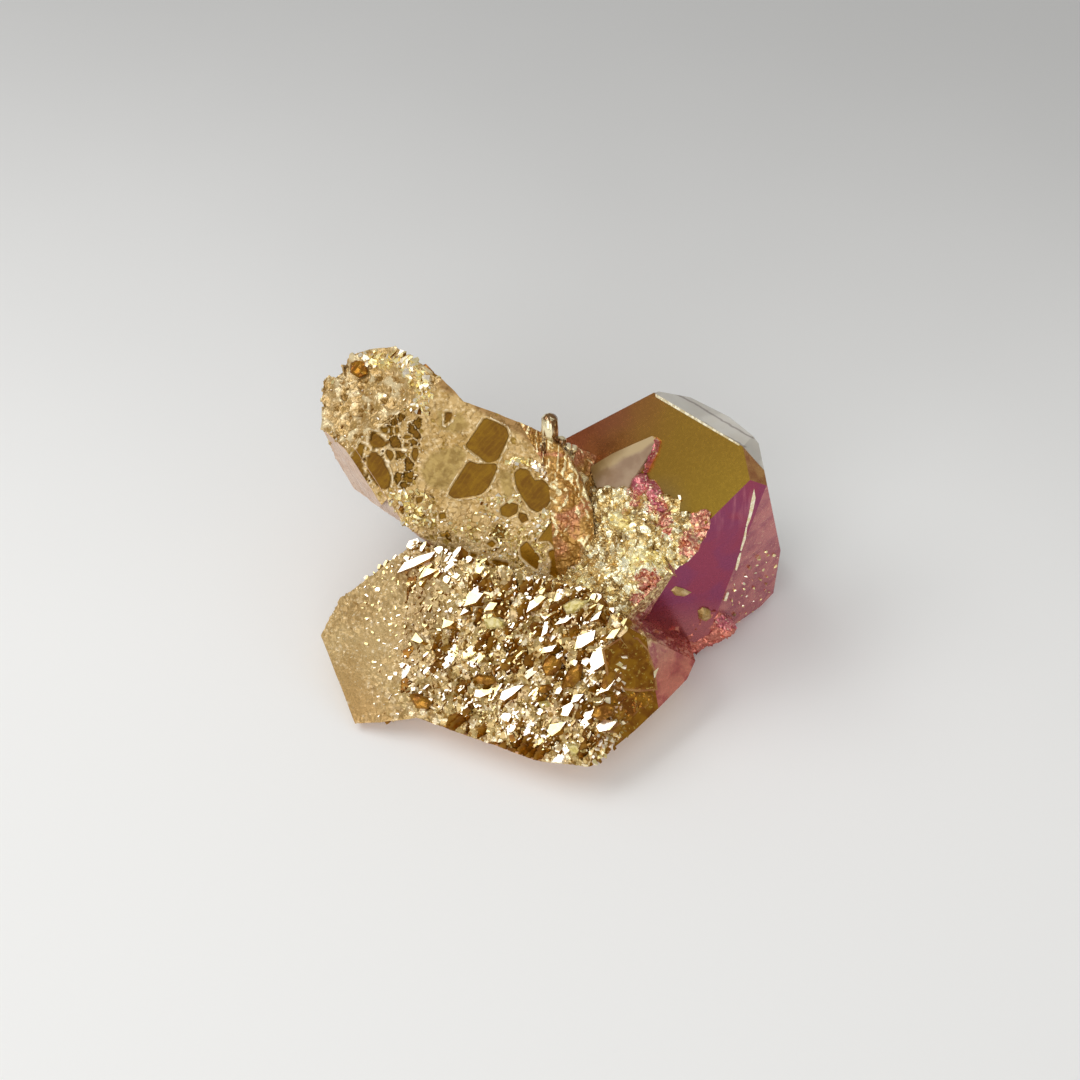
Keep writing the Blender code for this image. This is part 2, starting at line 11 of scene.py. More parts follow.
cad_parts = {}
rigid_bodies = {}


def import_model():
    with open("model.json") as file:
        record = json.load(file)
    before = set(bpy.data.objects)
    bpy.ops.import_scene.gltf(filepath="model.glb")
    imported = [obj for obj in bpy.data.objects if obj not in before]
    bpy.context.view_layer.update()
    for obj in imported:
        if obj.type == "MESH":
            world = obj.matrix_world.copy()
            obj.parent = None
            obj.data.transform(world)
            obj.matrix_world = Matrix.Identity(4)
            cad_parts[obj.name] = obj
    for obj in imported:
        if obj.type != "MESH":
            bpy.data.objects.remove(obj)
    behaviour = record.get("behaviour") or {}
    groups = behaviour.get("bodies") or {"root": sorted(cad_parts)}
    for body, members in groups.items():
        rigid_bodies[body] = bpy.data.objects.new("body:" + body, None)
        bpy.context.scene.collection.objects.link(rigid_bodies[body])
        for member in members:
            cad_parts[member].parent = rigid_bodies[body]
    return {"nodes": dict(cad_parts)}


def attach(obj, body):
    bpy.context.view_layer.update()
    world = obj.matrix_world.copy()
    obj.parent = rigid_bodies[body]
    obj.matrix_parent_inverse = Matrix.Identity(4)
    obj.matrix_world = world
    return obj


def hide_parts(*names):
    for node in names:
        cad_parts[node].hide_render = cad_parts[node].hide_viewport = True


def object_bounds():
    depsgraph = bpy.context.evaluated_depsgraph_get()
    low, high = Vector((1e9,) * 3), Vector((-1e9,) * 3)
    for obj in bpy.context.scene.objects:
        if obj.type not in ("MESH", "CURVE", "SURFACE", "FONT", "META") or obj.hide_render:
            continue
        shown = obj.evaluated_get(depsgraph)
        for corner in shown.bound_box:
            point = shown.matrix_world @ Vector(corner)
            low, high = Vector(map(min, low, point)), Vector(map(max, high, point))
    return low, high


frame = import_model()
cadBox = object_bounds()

print("frame loaded:", sorted(frame["nodes"]))

# Shapes are worked out in mm about a drawing origin, then set over the solid by this.
layout = {"middle": (1.46999, -4.44584, 0.0), "metres": 0.001}

# Facets are (azimuth, elevation, distance in mm, finish).
crystals = {
    "windowPoint": {
        "centre": (-10, 6, 20),
        "facets": {
            "windowFace": (-95, 34, 5.1, "etched"), "wornTipFace": (-144, 56, 11.4, "tip"),
            "upperSide": (65, 34, 7.4, "side"), "tipCut": (125, 28, 14.5, "side"),
            "leftLower": (-174, -28, 15.2, "band"), "leftUnder": (-153, -45, 12, "band"),
            "clearBand": (-140, -7, 11.2, "band"), "bandFoot": (-132, -30, 11, "under"),
            "underside": (-120, -58, 12.4, "under"), "backSide": (84, -4, 9.6, "back"),
            "backUnderside": (72, -55, 11.5, "back"), "fanFace": (-45, 46, 10.5, "fan"),
            "buriedEnd": (-8, -10, 21, "back"),
        },
    },
    "wornTip": {
        "centre": (-20, 10, 26),
        "facets": {
            "wornTipFace": (-144, 56, 3.3, "tip"), "windowSide": (-96, 33, 4.2, "etched"),
            "leftTop": (133, 22, 10, "tip"), "top": (92, 30, 8.6, "tip"), "rightTop": (45, 21, 7, "side"),
            "right": (40, 17, 7.3, "side"), "leftEnd": (180, -14, 8.9, "tip"), "clearBand": (-140, -7, 7.8, "band"),
            "leftLower": (-174, -28, 9.9, "band"), "leftUnder": (-153, -45, 11.9, "band"),
            "bandFoot": (-132, -30, 10.8, "under"), "under": (60, -60, 9, "back"),
            "buriedEnd": (-30, -30, 7, "back"),
        },
    },
    "frostedEnd": {
        "centre": (-22, -15, 7),
        "facets": {
            "frostedFace": (-123, 51, 0, "frosted"), "sparkleSide": (-114, 53, 0.2, "frosted"),
            "farLeft": (150, 8, 7.8, "frosted"), "nearLeft": (-167, -24, 6.2, "frosted"),
            "underFront": (-61, -62, 7.9, "under"), "topSlope": (124, 19, 8.6, "frosted"),
            "buriedEnd": (-10, 5, 8, "back"), "back": (70, 0, 12, "back"),
        },
    },
    "sparklePoint": {
        "centre": (-2, -17, 8),
        "facets": {
            "sparkleFace": (-114, 53, 3.4, "sparkle"), "frostedSide": (-123, 51, 4.8, "sparkle"),
            "leftTop": (127, 23, 20.6, "frosted"), "frontUnderLeft": (-113, -59, 9.7, "under"),
            "frontUnder": (-89, -60, 10.4, "under"), "frontUnderRight": (-42, -47, 13.6, "under"),
            "rightUnder": (-38, -40, 14.9, "under"), "rightEnd": (-15, -26, 19.7, "pink"),
            "amberFace": (-53, 36, 11.6, "amber"), "pinkFace": (-44, 34, 13.1, "pink"),
            "crustSide": (38, 43, 12.6, "pinkCrust"), "topSlope": (72, 43, 10.8, "crust"),
            "backWall": (88, -8, 18, "back"), "leftEnd": (170, 2, 21, "back"),
        },
    },
    "rightPoint": {
        "centre": (18, 0, 15),
        "facets": {
            "oliveTipFace": (-143, 43, 8.7, "olive"), "frontPrism": (-72, 4, 9.6, "magenta"),
            "frontRightPrism": (-50, -2, 10.7, "rose"), "rightPrism": (5, 12, 13.2, "rose"),
            "rightLowerPrism": (5, -1, 14.2, "rose"), "rightUnder": (-29, -36, 18, "rose"),
            "frontUnder": (-50, -46, 17, "roseUnder"), "clearTop": (80, 78, 17.5, "clear"),
            "farLeftSide": (110, 25, 15.6, "clear"), "farSide": (75, 27, 14.9, "clear"),
            "farMiddleSide": (52, 23, 13.3, "clear"), "farRightSide": (37, 17, 12.3, "clear"),
            "tipRightSliver": (-20, 48, 18.8, "strip"), "backPrism": (100, -8, 13.5, "back"),
            "backBreak": (95, -50, 14.5, "back"), "buriedEnd": (-165, -8, 12, "back"),
        },
    },
    "mound": {
        "centre": (10, -8, 14),
        "facets": {
            "lowerSlope": (-97, 52, 5.9, "crust"), "upperSlope": (-135, 53, 4.6, "crust"),
            "rightFront": (-45, -10, 6.1, "pinkCrust"), "rightEnd": (-28, 3, 7.8, "pinkCrust"),
            "leftSlope": (-175, 47, 4, "crust"), "back": (71, 46, 12.3, "crust"), "backWall": (96, -12, 15, "back"),
            "backLeftWall": (140, -6, 17, "back"), "backRightWall": (40, -8, 14.5, "back"),
            "leftEnd": (170, 10, 14, "back"), "under": (-90, -80, 12, "back"),
        },
    },
}
# Points at the back are (base, direction, radius, length).
backPoints = {
    "taper": 0.92, "tip": 1.2,
    "points": [((-6, 6, 8), (112, 6), 3.6, 12), ((5, 6, 7), (84, 2), 4.2, 11), ((-1, 5, 12), (96, 24), 2.6, 8),
        ((13, 8, 5), (60, -2), 3, 9), ((-10, 2, 4), (120, 0), 3, 9), ((-12, 9, 12), (100, -10), 2.6, 8),
        ((16, 6, 6), (70, -4), 2.4, 9), ((4, 7, 12), (88, 10), 2.2, 6)],
}


def toFrame(points):
    return (np.asarray(points, float) - np.array(layout["middle"])) * layout["metres"]


def insideBox(points):
    return np.clip(points, *np.array(cadBox))


def facing(azimuth, elevation):
    a, e = math.radians(azimuth), math.radians(elevation)
    return Vector((math.cos(a) * math.cos(e), math.sin(a) * math.cos(e), math.sin(e)))


class FacetPlane:  # x runs level along the facet, y up its slope, z out of it
    def __init__(self, origin, normal, across, finish):
        self.origin, self.normal, self.across, self.finish = origin, normal, across, finish
        self.up = normal.cross(across)

    def at(self, x, y, z=0.0):
        return self.origin + self.across * x + self.up * y + self.normal * z

    def flat(self, points):
        offset = points - np.array(self.origin)
        return offset @ np.array(self.across), offset @ np.array(self.up)


def facetPlane(crystal, facet):
    shape = crystals[crystal]
    azimuth, elevation, far, finish = shape["facets"][facet]
    normal = facing(azimuth, elevation)
    return FacetPlane(Vector(shape["centre"]) + normal * far, normal, facing(azimuth + 90, 0), finish)


def freePlane(origin, normal, finish):
    return FacetPlane(origin, normal, normal.orthogonal().normalized(), finish)


def crystalPlanes(name):
    planes = [facetPlane(name, facet) for facet in crystals[name]["facets"]]
    return [(plane.origin, plane.normal) for plane in planes]


def planed(centre, planes, side=120.0):
    # a block with a slice taken off at each plane
    bm = bmesh.new()
    bmesh.ops.create_cube(bm, size=side, matrix=Matrix.Translation(centre))
    for point, normal in planes:
        whole = bm.verts[:] + bm.edges[:] + bm.faces[:]
        cut = bmesh.ops.bisect_plane(bm, geom=whole, dist=1e-6, plane_co=point, plane_no=normal, clear_outer=True)
        rim = [item for item in cut["geom_cut"] if isinstance(item, bmesh.types.BMEdge)]
        if rim:
            bmesh.ops.edgenet_fill(bm, edges=rim)
    bmesh.ops.recalc_face_normals(bm, faces=bm.faces)
    return bm


def bevelled(bm, width, segments):
    bmesh.ops.bevel(bm, geom=bm.edges[:], offset=width, segments=segments, affect="EDGES", clamp_overlap=True)


def standing(base, direction):
    return Matrix.Translation(base) @ facing(*direction).to_track_quat("Z", "Y").to_matrix().to_4x4()


def smallPoint(base, direction, radius, length, taper, tip, sides=6):
    tipLength = min(radius * tip, length / 2)
    shank = length - tipLength
    bm = bmesh.new()
    bmesh.ops.create_cone(
        bm, cap_ends=True, segments=sides, radius1=radius, radius2=radius * taper, depth=shank,
        matrix=Matrix.Translation((0, 0, shank / 2)),
    )
    top = max(bm.faces, key=lambda face: face.calc_center_median().z)
    bmesh.ops.poke(bm, faces=[top])["verts"][0].co.z += tipLength
    bmesh.ops.transform(bm, matrix=standing(base, direction), verts=bm.verts)
    return bm


def prism(plane, outline, low, high):
    bm = bmesh.new()
    ring = [bm.verts.new(plane.at(x, y, low)) for x, y in outline]
    grown = bmesh.ops.extrude_face_region(bm, geom=[bm.faces.new(ring)])
    lifted = [item for item in grown["geom"] if isinstance(item, bmesh.types.BMVert)]
    bmesh.ops.translate(bm, vec=plane.normal * (high - low), verts=lifted)
    bmesh.ops.recalc_face_normals(bm, faces=bm.faces)
    return bm


def linked(name, data, collection=None):
    obj = bpy.data.objects.new(name, data)
    (collection or bpy.context.scene.collection).objects.link(obj)
    return obj


def newObject(name, bm, collection=None):
    mesh = bpy.data.meshes.new(name)
    bm.to_mesh(mesh)
    bm.free()
    return linked(name, mesh, collection)


def finishedPiece(name, bm, *finishes):
    for vert in bm.verts:
        vert.co = insideBox(toFrame(vert.co))
    made = newObject(name, bm)
    for finish in finishes:
        made.data.materials.append(materials[finish])
    return made


def meshPiece(name, points, faces, marks=None):
    mesh = bpy.data.meshes.new(name)
    mesh.from_pydata(points.tolist(), [], faces)
    for mark, values in (marks or {}).items():
        mesh.attributes.new(mark, "FLOAT", "POINT").data.foreach_set("value", values.astype(np.float32))
    return linked(name, mesh)


def newCollection(name):
    made = bpy.data.collections.new(name)
    bpy.context.scene.collection.children.link(made)
    return made


def evaluated(obj, modifier):
    # the object's mesh with the modifier's result in it, and the modifier gone
    result = bpy.data.meshes.new_from_object(obj.evaluated_get(bpy.context.evaluated_depsgraph_get()))
    obj.modifiers.remove(modifier)
    old, obj.data = obj.data, result
    bpy.data.meshes.remove(old)


def emptied(collection):
    for obj in list(collection.objects):
        bpy.data.objects.remove(obj)


def joinAll(base, collection, operation="UNION"):
    modifier = base.modifiers.new("join", "BOOLEAN")
    modifier.operation, modifier.operand_type = operation, "COLLECTION"
    modifier.collection, modifier.solver = collection, "EXACT"
    evaluated(base, modifier)
    emptied(collection)


# The clear end of the right point starts at its ridge, and the coated body stops there.
ridge = {"lean": 0.22, "away": (0.0, 0.643, -0.766), "gap": 0.04, "standsAt": 0.05, "bevel": 0.12}


def ridgePlane():
    olive, clearTop = facetPlane("rightPoint", "oliveTipFace"), facetPlane("rightPoint", "clearTop")
    run = olive.normal.cross(clearTop.normal).normalized()
    step = olive.normal.cross(run)
    # a point on both facets
    start = olive.origin + step * ((clearTop.origin - olive.origin).dot(clearTop.normal) / step.dot(clearTop.normal))
    away = Vector(ridge["away"])
    outward = run.cross(away).normalized()
    outward *= math.copysign(1, outward.dot(clearTop.normal))
    inward = (away - outward * ridge["lean"]).normalized()
    normal = run.cross(inward).normalized()
    return start, normal * math.copysign(1, normal.dot(outward))


ridgePoint, ridgeNormal = ridgePlane()
work = newCollection("work")
notch = {"outline": [(-12.0, -2.6), (-7.4, -0.9), (-12.0, 0.9)], "deep": 3.4}
blockSide = 120.0


def coatedBody():
    base = newObject("workBody", planed(crystals["windowPoint"]["centre"], crystalPlanes("windowPoint")))
    for name in ("wornTip", "frostedEnd", "sparklePoint", "mound", "rightPoint"):
        cuts = crystalPlanes(name) + [(ridgePoint, ridgeNormal)] * (name == "rightPoint")
        newObject(name, planed(crystals[name]["centre"], cuts), work)
    for point in backPoints["points"]:
        newObject("backPoint", smallPoint(*point, backPoints["taper"], backPoints["tip"]), work)
    joinAll(base, work)
    tip = facetPlane("wornTip", "wornTipFace")
    newObject("notch", prism(tip, notch["outline"], -notch["deep"], notch["deep"]), work)
    newObject("floorCut", planed((0, 0, -blockSide / 2), [], blockSide), work)
    joinAll(base, work, "DIFFERENCE")
    return base


def hashed(cell, seed):
    # an even spread of numbers from 0 to 1, the same for the same cell
    value = (cell[..., 0] * 374761393 + cell[..., 1] * 668265263 + cell[..., 2] * 1442695041 + seed * 1274126177)
    value = (value ^ (value >> 13)) & 0xFFFFFFFF
    value = (value * 1274126177) & 0xFFFFFFFF
    value = value ^ (value >> 16)
    return (value & 0xFFFFFF) / float(0xFFFFFF)


def valueNoise(points, size, seed):
    scaled = points / size
    low = np.floor(scaled).astype(np.int64)
    part = scaled - low
    part = part * part * (3 - 2 * part)
    total = np.zeros(len(points))
    for corner in np.ndindex(2, 2, 2):
        total += np.where(corner, part, 1 - part).prod(1) * hashed(low + np.array(corner), seed)
    return total * 2 - 1


def cloudy(points, size, octaves, seed):
    total = np.zeros(len(points))
    for octave in range(octaves):
        total += valueNoise(points, size / 2**octave, seed + octave * 17) * 0.5**octave
    return total


def cells(points, size, seed, jitter=0.9, flat=False):
    # nearest and second nearest feature, the nearest one's number and the offset from it
    scaled = points / size
    low = np.floor(scaled).astype(np.int64)
    first, second = np.full((2, len(points)), 9.0)
    mark, offset = np.zeros(len(points)), np.zeros((len(points), 3))
    deep = 0 if flat else 1
    for corner in np.ndindex(3, 3, 2 * deep + 1):
        cell = low + np.array(corner) - (1, 1, deep)
        spot = np.stack([hashed(cell, seed + axis * 7) for axis in range(3)], 1)
        away = scaled - (cell + 0.5 + (spot - 0.5) * jitter)
        if flat:
            away[:, 2] = 0.0
        far = np.sqrt((away**2).sum(1))
        nearer = far < first
        second = np.where(nearer, first, np.minimum(second, far))
        first = np.where(nearer, far, first)
        mark = np.where(nearer, hashed(cell, seed + 91), mark)
        offset[nearer] = away[nearer]
    return first * size, second * size, mark, offset * size


def again(mark, number):
    return (mark * 9973.0 * (number + 1.37)) % 1.0


def broken(points, size, slope, step, seed, flat=False):
    # a surface of small flat facets, each with its own tilt
    _, _, mark, offset = cells(points, size, seed, flat=flat)
    tilt = np.stack([again(mark, n) * 2 - 1 for n in (1, 2, 3)], 1)
    return (offset * tilt).sum(1) * slope + (again(mark, 4) - 0.5) * step


def ramp(value, low, high):
    t = np.clip((value - low) / (high - low), 0, 1)
    return t * t * (3 - 2 * t)


def sides(outline):
    return zip(outline, outline[1:] + outline[:1])


def insideOutline(outline, x, y):
    hit = np.zeros(len(x), bool)
    for (x1, y1), (x2, y2) in sides(outline):
        if y1 != y2:
            hit ^= ((y1 > y) != (y2 > y)) & (x < (x2 - x1) * (y - y1) / (y2 - y1) + x1)
    return hit


def outlineDistance(outline, x, y):
    best = np.full(len(x), 1e9)
    for (ax, ay), (bx, by) in sides(outline):
        ex, ey = bx - ax, by - ay
        t = np.clip(((x - ax) * ex + (y - ay) * ey) / (ex * ex + ey * ey + 1e-12), 0, 1)
        best = np.minimum(best, (x - ax - t * ex) ** 2 + (y - ay - t * ey) ** 2)
    return np.sqrt(best)


def depthInside(outline, x, y):
    # over zero inside the outline, under zero outside it
    return outlineDistance(outline, x, y) * np.where(insideOutline(outline, x, y), 1, -1)


def rounded(outline, cut=0.12, rounds=2):
    for _ in range(rounds):
        outline = [
            (x1 + (x2 - x1) * part, y1 + (y2 - y1) * part)
            for (x1, y1), (x2, y2) in sides(outline) for part in (cut, 1 - cut)
        ]
    return outline


# Windows etched in the left point, drawn in mm on its window face.
windows = {
    "depth": 0.05, "wall": 0.22, "rim": 0.1, "rimWidth": 0.2, "grown": 1.12,
    "outlines": {
        "bigUpper": [(2.8, 8), (5.5, 6.9), (5.9, 5.8), (4.7, 2.7), (3.3, 2.2), (2.5, 2.8), (0.5, 4.2), (1.6, 6)],
        "bigLower": [(0.9, 2.1), (2, 1.8), (4.4, 1.9), (4.5, 1.2), (3.6, -1.2), (2.7, -2.2), (-0.5, -2.9),
            (-1.5, -2.3)],
        "arched": [(7.1, 0.8), (7.8, 1.5), (9, 1.3), (9.7, 0.1), (10.7, 0.3), (11.6, -0.6), (11.9, -2.2),
            (11.3, -3.3), (10.3, -4), (9.3, -3.6), (8.3, -2.4), (7.4, -0.9)],
        "pairA": [(5.3, -3.9), (6.3, -3), (7.7, -3.3), (7.6, -4.5), (6.5, -5.2), (5.5, -4.9)],
        "pairC": [(7.8, -4.3), (8.9, -4.5), (9.2, -5.4), (8.3, -5.9), (7.7, -5.1)],
        "edgeTri": [(10.5, -8.1), (11.4, -6.5), (12.5, -4.9), (13.3, -5.3), (13.4, -7.3), (12.8, -8.9), (12, -8)],
        "lowBig": [(8.2, -9.2), (9.1, -8.3), (10.1, -9.4), (10.9, -10.4), (10.6, -12.1), (9.5, -11.4), (8.4, -10.5)],
        "lowBig2": [(11.8, -9.7), (12.7, -9.1), (13.4, -10.3), (13.7, -11.9), (13.2, -13.5), (12.2, -12.4),
            (12.4, -11)],
        "lowA": [(3.6, -9), (4.4, -8.3), (5.1, -8.9), (4.5, -9.6)],
        "lowD": [(4.3, -11.4), (5.2, -10.8), (6.2, -11.5), (5.4, -12.2)],
        "lowB": [(1.6, -10.2), (2.7, -10.5), (2.4, -11.2), (1.5, -11)],
        "lowC": [(5.6, -11.1), (6.7, -11.3), (7.2, -12), (6.3, -12.1)],
        "tallLeft": [(-13.6, 3.8), (-12.8, 3.2), (-13.1, 2.1), (-13.3, 1), (-12.9, -0.4), (-13.2, -1.3),
            (-14.4, -0.2), (-15, 1)],
        "roundLeft": [(-12.1, 2.4), (-11.3, 2.5), (-10.4, 1.6), (-9.8, 0.6), (-9.3, -0.7), (-9.5, -2),
            (-10.5, -2.4), (-11.6, -1.5), (-12.4, -0.3), (-12.6, 1)],
        "upLeft": [(-12.1, 5.1), (-11.5, 5.3), (-10.4, 4.4), (-9.8, 3.8), (-10.5, 3.2), (-11.9, 3.1), (-12.5, 3.9)],
        "midLeft": [(-10, 3.1), (-9.2, 2.9), (-8.9, 2.2), (-9.4, 1.4), (-9.9, 1.9), (-10.2, 2.5)],
        "smallA": [(-11, 6.1), (-10.5, 6.2), (-9.9, 5.7), (-10, 5.1), (-10.4, 5), (-11, 5.6)],
        "smallB": [(-9, 6.1), (-8.5, 6.2), (-8.3, 5.5), (-8.8, 5.1), (-9.1, 5.6)],
        "smallC": [(-7.6, 5.3), (-6.8, 5.1), (-6.8, 4.7), (-7.6, 4.5), (-8, 4.7)],
        "smallD": [(-6.5, 3.5), (-5.9, 3.5), (-5.7, 2.6), (-6.1, 1.5), (-6.6, 2), (-6.8, 2.6)],
        "smallE": [(-12.3, 7), (-11.9, 6.1), (-12.4, 5.8), (-13.2, 5.7), (-12.7, 6.4)],
        "smallF": [(-7.7, 4.2), (-7, 4.1), (-7.1, 3.5), (-7.8, 3.5)],
        "dim": [(-2.6, 8.7), (-1.3, 8.7), (-1.5, 7.6), (-2.5, 6.7)],
        "sideA": [(-6, -3.2), (-4.9, -3), (-5, -3.9), (-5.8, -4.2)],
        "sideB": [(-8.3, -5), (-7.2, -4.8), (-7.5, -5.9)],
        "sideC": [(-2.8, -5.2), (-1.9, -5), (-1.7, -5.9), (-2.7, -6.1)],
    },
}


def grownRing(ring):
    middle = np.mean(ring, 0)
    return rounded([tuple(middle + (np.array(p) - middle) * windows["grown"]) for p in ring])


windowRings = {name: grownRing(ring) for name, ring in windows["outlines"].items()}


def windowDistance(x, y, reach=1.5):
    # under zero inside a window, and far away further out than reach
    best = np.full(len(x), 1e9)
    for ring in windowRings.values():
        (left, low), (right, high) = np.min(ring, 0) - reach, np.max(ring, 0) + reach
        near = np.nonzero((x > left) & (x < right) & (y > low) & (y < high))[0]
        if len(near):
            best[near] = np.minimum(best[near], -depthInside(ring, x[near], y[near]))
    return best


# Zones are (outline on the window face, share of cells eaten out, share of fine pits),
# and smooth plateaus stay nearly clean.
etching = {
    "cell": 1.5, "wall": 0.13, "depth": 0.13, "fineCell": 0.62,
    "zones": [([(-1.5, -6.5), (3, -4.4), (8, -6.2), (13, -5), (15, -12.5), (8, -13.5), (2, -12.5)], 0.1, 0.5),
        ([(-8.5, -3.5), (-4.5, -2.6), (-1, -5.5), (0, -11), (-4.5, -10), (-8, -8)], 0.22, 0.6),
        ([(-16.5, 6.5), (-12.5, 8.4), (-6, 7), (-4.6, 1), (-8, -3), (-13, -2.6), (-16.5, 1)], 0.5, 0.4),
        ([(-3.5, 9.5), (6.5, 8), (9, 3.5), (6.8, 1), (6.2, 6.4), (0.6, 8.4)], 0.05, 0.3)],
    "smooth": [[(-5.6, 0.6), (-4.2, 3), (-0.6, 4.2), (0.9, 3.2), (-0.8, -0.4), (-2, -2.2), (-4.6, -1.6)],
        [(-3.6, 9), (-0.4, 8.8), (1, 6.8), (-1, 5.6), (-3.4, 6.4)],
        [(4.8, 1.6), (6.6, 1), (7.4, -2.4), (5.6, -2.6), (4.9, 0)]],
}
windowFace = facetPlane("windowPoint", "windowFace")
sparkleFace = facetPlane("sparklePoint", "sparkleFace")


def within(outline, x, y, soft=1.0):
    return ramp(depthInside(outline, x, y), -soft, soft)


# Each relief takes points in mm, and gives heights in mm and marks for the materials.
def etchedRelief(p):
    x, y = windowFace.flat(p)
    warp = cloudy(p, 2.2, 2, 5) * 0.45
    flat = np.stack([x + warp, (y - warp * 0.7) * 0.9, np.zeros(len(x))], 1)
    eaten, fine, calm = np.zeros(len(x)), np.full(len(x), 0.08), np.zeros(len(x))
    for outline, share, fineShare in etching["zones"]:
        weight = within(outline, x, y)
        eaten, fine = np.maximum(eaten, weight * share), np.maximum(fine, weight * fineShare)
    for outline in etching["smooth"]:
        calm = np.maximum(calm, within(outline, x, y, 0.6))
    facets = broken(p, 0.8, 0.4, 0.1, 17)
    height = cloudy(p, 2.6, 3, 11) * 0.12 + facets * 0.5 * (1 - calm * 0.8)
    first, second, mark, _ = cells(flat, etching["cell"], 23, flat=True)
    hollow = ramp(second - first, etching["wall"], etching["wall"] + 0.14) * (mark < eaten * (1 - calm))
    wall = (1 - ramp(second - first, 0.05, etching["wall"])) * ramp(eaten, 0.1, 0.25) * (1 - calm)
    first, second, mark, _ = cells(flat + 31.0, etching["fineCell"], 41, flat=True)
    pit = ramp(second - first, 0.12, 0.22) * (mark < fine * 0.55 * (1 - calm)) * (1 - hollow)
    height += wall * 0.16 - hollow * etching["depth"] - pit * 0.13
    far, half = windowDistance(x, y), windows["rimWidth"] * 0.5
    rim = np.exp(-((far - half) ** 2) / half**2) * (far > 0)
    keep = ramp(far, 0.0, 0.35)
    inside = 1 - ramp(far, -windows["wall"], 0.0)
    height = (height * keep + rim * windows["rim"]) * (1 - inside) - inside * windows["depth"]
    return height, {
        "pit": pit * keep,
        "pale": np.maximum(np.maximum(wall, facets * 1.2) * keep, rim * 0.9),
        "window": np.maximum(inside, hollow * keep),
        "calm": calm * keep,
    }


def tipRelief(p):
    facets = broken(p, 1.7, 0.4, 0.14, 73)
    first, second, mark, _ = cells(p, 0.95, 83)
    pit = ramp(second - first, 0.14, 0.26) * (mark < 0.13)
    height = cloudy(p, 5.5, 2, 71) * 0.7 + facets * 0.6 + broken(p, 0.7, 0.35, 0.05, 79) * 0.35 - pit * 0.22 - 0.1
    return height, {"pit": pit, "pale": ramp(facets, 0.0, 0.25) * 0.8}


def frostedRelief(p):
    cracks = 1 - ramp(np.abs(cloudy(p, 3.0, 3, 151)), 0.0, 0.03)
    height = cloudy(p, 2.2, 4, 157) * 0.07 - cracks * 0.04
    across = sparkleFace.flat(p)[0] + cloudy(p, 3.0, 2, 167) * 2.0
    rough = np.maximum(ramp(p[:, 1], -14.0, -9.5), ramp(across, -21.0, -12.0) * 0.8)
    height = height * (1 - rough) + broken(p, 0.7, 0.7, 0.2, 163) * 0.6 * rough
    return height, {"pale": cracks * 0.6 * (1 - rough)}


# Treads face halfway between the camera and the glint lamp, so they mirror it. Their near-white colour is painted
# glint as well, and cells tipped the brownFacing way and sides facing the riser way are painted brown as shade.
tread, riser, brownFacing = facing(-147, 71), facing(-41, 5), facing(-62, 22)
edgeRun = tread.cross(riser).normalized()
stepping = {"long": 2.1, "short": 1.15, "treadShare": 0.1, "brownShare": 0.42}


def steppedCells(p):
    # cells are long along the step edges; kind 1 is a tread with painted glint colour, 2 a side painted brown as
    # shade, 0 rough
    x, y = sparkleFace.flat(p)
    runX, runY = edgeRun.dot(sparkleFace.across), edgeRun.dot(sparkleFace.up)
    runX, runY = runX / math.hypot(runX, runY), runY / math.hypot(runX, runY)
    warp = cloudy(p, 3.0, 2, 203) * 0.4
    alongRun = (x * runX + y * runY) / stepping["long"] + warp * 0.3
    acrossRun = (-x * runY + y * runX) / stepping["short"] + warp * 0.5
    flat = np.stack([alongRun, acrossRun, np.zeros(len(x))], 1)
    _, _, mark, offset = cells(flat, 1.0, 211, jitter=0.95, flat=True)
    backAlong, backAcross = offset[:, 0] * stepping["long"], offset[:, 1] * stepping["short"]
    dx, dy = backAlong * runX - backAcross * runY, backAlong * runY + backAcross * runX
    richness = ramp(x, -15.0, 0.0) * 0.75 + 0.25
    kind = np.where(mark < stepping["treadShare"] * richness, 1, 0)
    kind = np.where((mark > 0.5) & (mark < 0.5 + stepping["brownShare"] * richness), 2, kind)
    return kind, mark, dx, dy, x


def tilted(direction, dx, dy):
    z = direction.dot(sparkleFace.normal)
    return -dx * direction.dot(sparkleFace.across) / z - dy * direction.dot(sparkleFace.up) / z


def sparkleRelief(p):
    kind, mark, dx, dy, x = steppedCells(p)
    treadHeight = tilted(tread, dx, dy) * 0.95 + again(mark, 3) * 0.25
    brownHeight = tilted(brownFacing, dx, dy) * 0.8 - 0.12 + again(mark, 5) * 0.1
    rough = broken(p, 1.0, 0.7, 0.2, 227) * 0.55 + again(mark, 6) * 0.15
    height = np.where(kind == 1, treadHeight, np.where(kind == 2, brownHeight, rough))
    richer = ramp(x + cloudy(p, 3.0, 2, 229) * 2.0, -17.0, -8.0) * 0.6 + 0.4
    return np.clip(cloudy(p, 3.5, 2, 223) * 0.12 + height * richer, -0.7, 0.8), {}


def crustRelief(p):
    lumps = cloudy(p, 5.0, 2, 251) * 0.55
    warp = p + np.stack([cloudy(p + n * 9.0, 1.8, 2, 253 + n) for n in range(3)], 1) * 0.4
    folds = 1 - np.abs(cloudy(warp, 1.9, 2, 257))
    warp = warp * (0.8, 1.15, 1.15)
    fine = broken(warp, 0.75, 0.7, 0.1, 263)
    return lumps + folds * 0.35 + broken(warp, 1.7, 0.7, 0.2, 259) * 0.6 + fine * 0.4 - 0.2, {}


fanShape = {"top": (11.0, 11.5), "ridges": 27.0, "fineRidges": 34.0}


